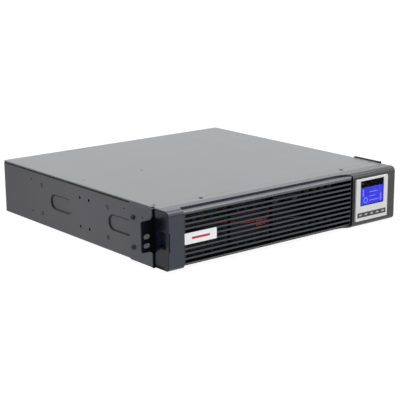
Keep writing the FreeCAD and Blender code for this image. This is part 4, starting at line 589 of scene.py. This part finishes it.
def plate_stripe():
    """Plain red bar on the blank plate, in place of any lettering."""
    low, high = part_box("name_plate")
    middle = (low.z + high.z) / 2
    margin, half_height, lift = 12 * MM, 1.6 * MM, 0.05 * MM
    shape = bmesh.new()
    add_box(shape, (low.x + margin, low.y - lift, middle - half_height),
            (high.x - margin, low.y + lift, middle + half_height))
    red = moulded("stripe_red", (0.50, 0.01, 0.02), 0.4)
    piece = mesh_object("plate_stripe", shape, red, "grille")


def key_marks():
    """A short light bar on each key."""
    light = moulded("mark_light", (0.42, 0.44, 0.44), 0.4)
    side_share, end_share = 0.25, 0.30
    lift, sunk = 0.03 * MM, 0.05 * MM
    for number in range(1, KEY_COUNT + 1):
        low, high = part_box("button_%d" % number)
        margin_x = side_share * (high.x - low.x)
        margin_z = end_share * (high.z - low.z)
        shape = bmesh.new()
        add_box(shape, (low.x + margin_x, low.y - lift, low.z + margin_z),
                (high.x - margin_x, low.y + sunk, high.z - margin_z))
        mark = mesh_object("key_mark_%d" % number, shape, light, "key_%d" % number)


# Studio

def studio():
    """Pale floor, white surroundings and soft lights overhead and in front."""
    surroundings()
    pale_floor()
    soft_light("overhead", place=(0.2, 0.3, 2.4), target=(0, 0, 0), size=2.6, power=14)
    soft_light("edge", place=(1.3, -0.7, 2.1), target=(0, 0, 0.05), size=1.3, power=20)
    soft_light("front_right", place=(1.3, -1.5, 0.8), target=(0, -0.2, 0.05), size=0.9,
               power=7)


def surroundings():
    """White surroundings, brightest overhead and behind, and dim low in front."""
    brightest = Vector((0.10, 0.62, 0.78)).normalized()
    world = bpy.data.worlds.new("surroundings")
    bpy.context.scene.world = world
    world.use_nodes = True
    nodes, links = world.node_tree.nodes, world.node_tree.links
    background = nodes["Background"]
    background.inputs["Color"].default_value = (0.97, 0.98, 1.0, 1)
    toward = nodes.new("ShaderNodeVectorMath")
    toward.operation = "DOT_PRODUCT"
    toward.inputs[1].default_value = brightest
    links.new(nodes.new("ShaderNodeTexCoord").outputs["Generated"], toward.inputs[0])
    fade = nodes.new("ShaderNodeMapRange")
    fade.interpolation_type = "SMOOTHSTEP"
    for name, amount in (("From Min", -0.5), ("From Max", 0.8), ("To Min", 0.15),
                         ("To Max", 1.25)):
        fade.inputs[name].default_value = amount
    links.new(toward.outputs["Value"], fade.inputs["Value"])
    links.new(fade.outputs["Result"], background.inputs["Strength"])


def pale_floor():
    """Large floor that glows almost white, so that only a faint shadow shows."""
    reach = 30
    corners = [(-reach, -reach, 0), (reach, -reach, 0), (reach, reach, 0), (-reach, reach, 0)]
    mesh = bpy.data.meshes.new("floor")
    mesh.from_pydata(corners, [], [(0, 1, 2, 3)])
    floor = bpy.data.objects.new("floor", mesh)
    bpy.context.scene.collection.objects.link(floor)
    finish = Finish("floor_pale", (0.10, 0.10, 0.10), 0.8, Specular_IOR_Level=0.05)
    finish.shader.inputs["Emission Color"].default_value = (1, 1, 1, 1)
    finish.shader.inputs["Emission Strength"].default_value = 0.93
    mesh.materials.append(finish.material)


def soft_light(name, place, target, size, power):
    """A square area light aimed at a point."""
    lamp = bpy.data.lights.new(name, "AREA")
    lamp.size = size
    lamp.energy = power
    thing = bpy.data.objects.new(name, lamp)
    bpy.context.scene.collection.objects.link(thing)
    thing.location = place
    look = Vector(target) - Vector(place)
    thing.rotation_euler = look.to_track_quat("-Z", "Y").to_euler()


def camera():
    """The photograph's view: from the front left, a little above."""
    azimuth = math.radians(-38.272)
    elevation = math.radians(14.941)
    roll = math.radians(-0.508)
    distance = 1.832
    left_of_middle, front_of_middle = 0.0215, 0.0189
    low, high = CAD_BOX
    middle = (low + high) / 2
    target = Vector((middle.x - left_of_middle, middle.y - front_of_middle, low.z))
    back = Vector((math.sin(azimuth) * math.cos(elevation),
                   -math.cos(azimuth) * math.cos(elevation), math.sin(elevation)))
    right = Vector((0, 0, 1)).cross(back).normalized()
    up = back.cross(right)
    turned_right = right * math.cos(roll) + up * math.sin(roll)
    turned_up = up * math.cos(roll) - right * math.sin(roll)
    data = bpy.data.cameras.new("camera")
    data.sensor_width = 36
    data.lens = 105.3
    data.shift_x = 0.0171
    data.shift_y = 0.0484
    thing = bpy.data.objects.new("camera", data)
    bpy.context.scene.collection.objects.link(thing)
    turn = Matrix((turned_right, turned_up, back)).transposed().to_4x4()
    thing.matrix_world = Matrix.Translation(target + back * distance) @ turn
    bpy.context.scene.camera = thing


camera()
studio()
finishes()
lcd_segments()
plate_stripe()
key_marks()
bpy.context.scene.view_settings.view_transform = "Standard"
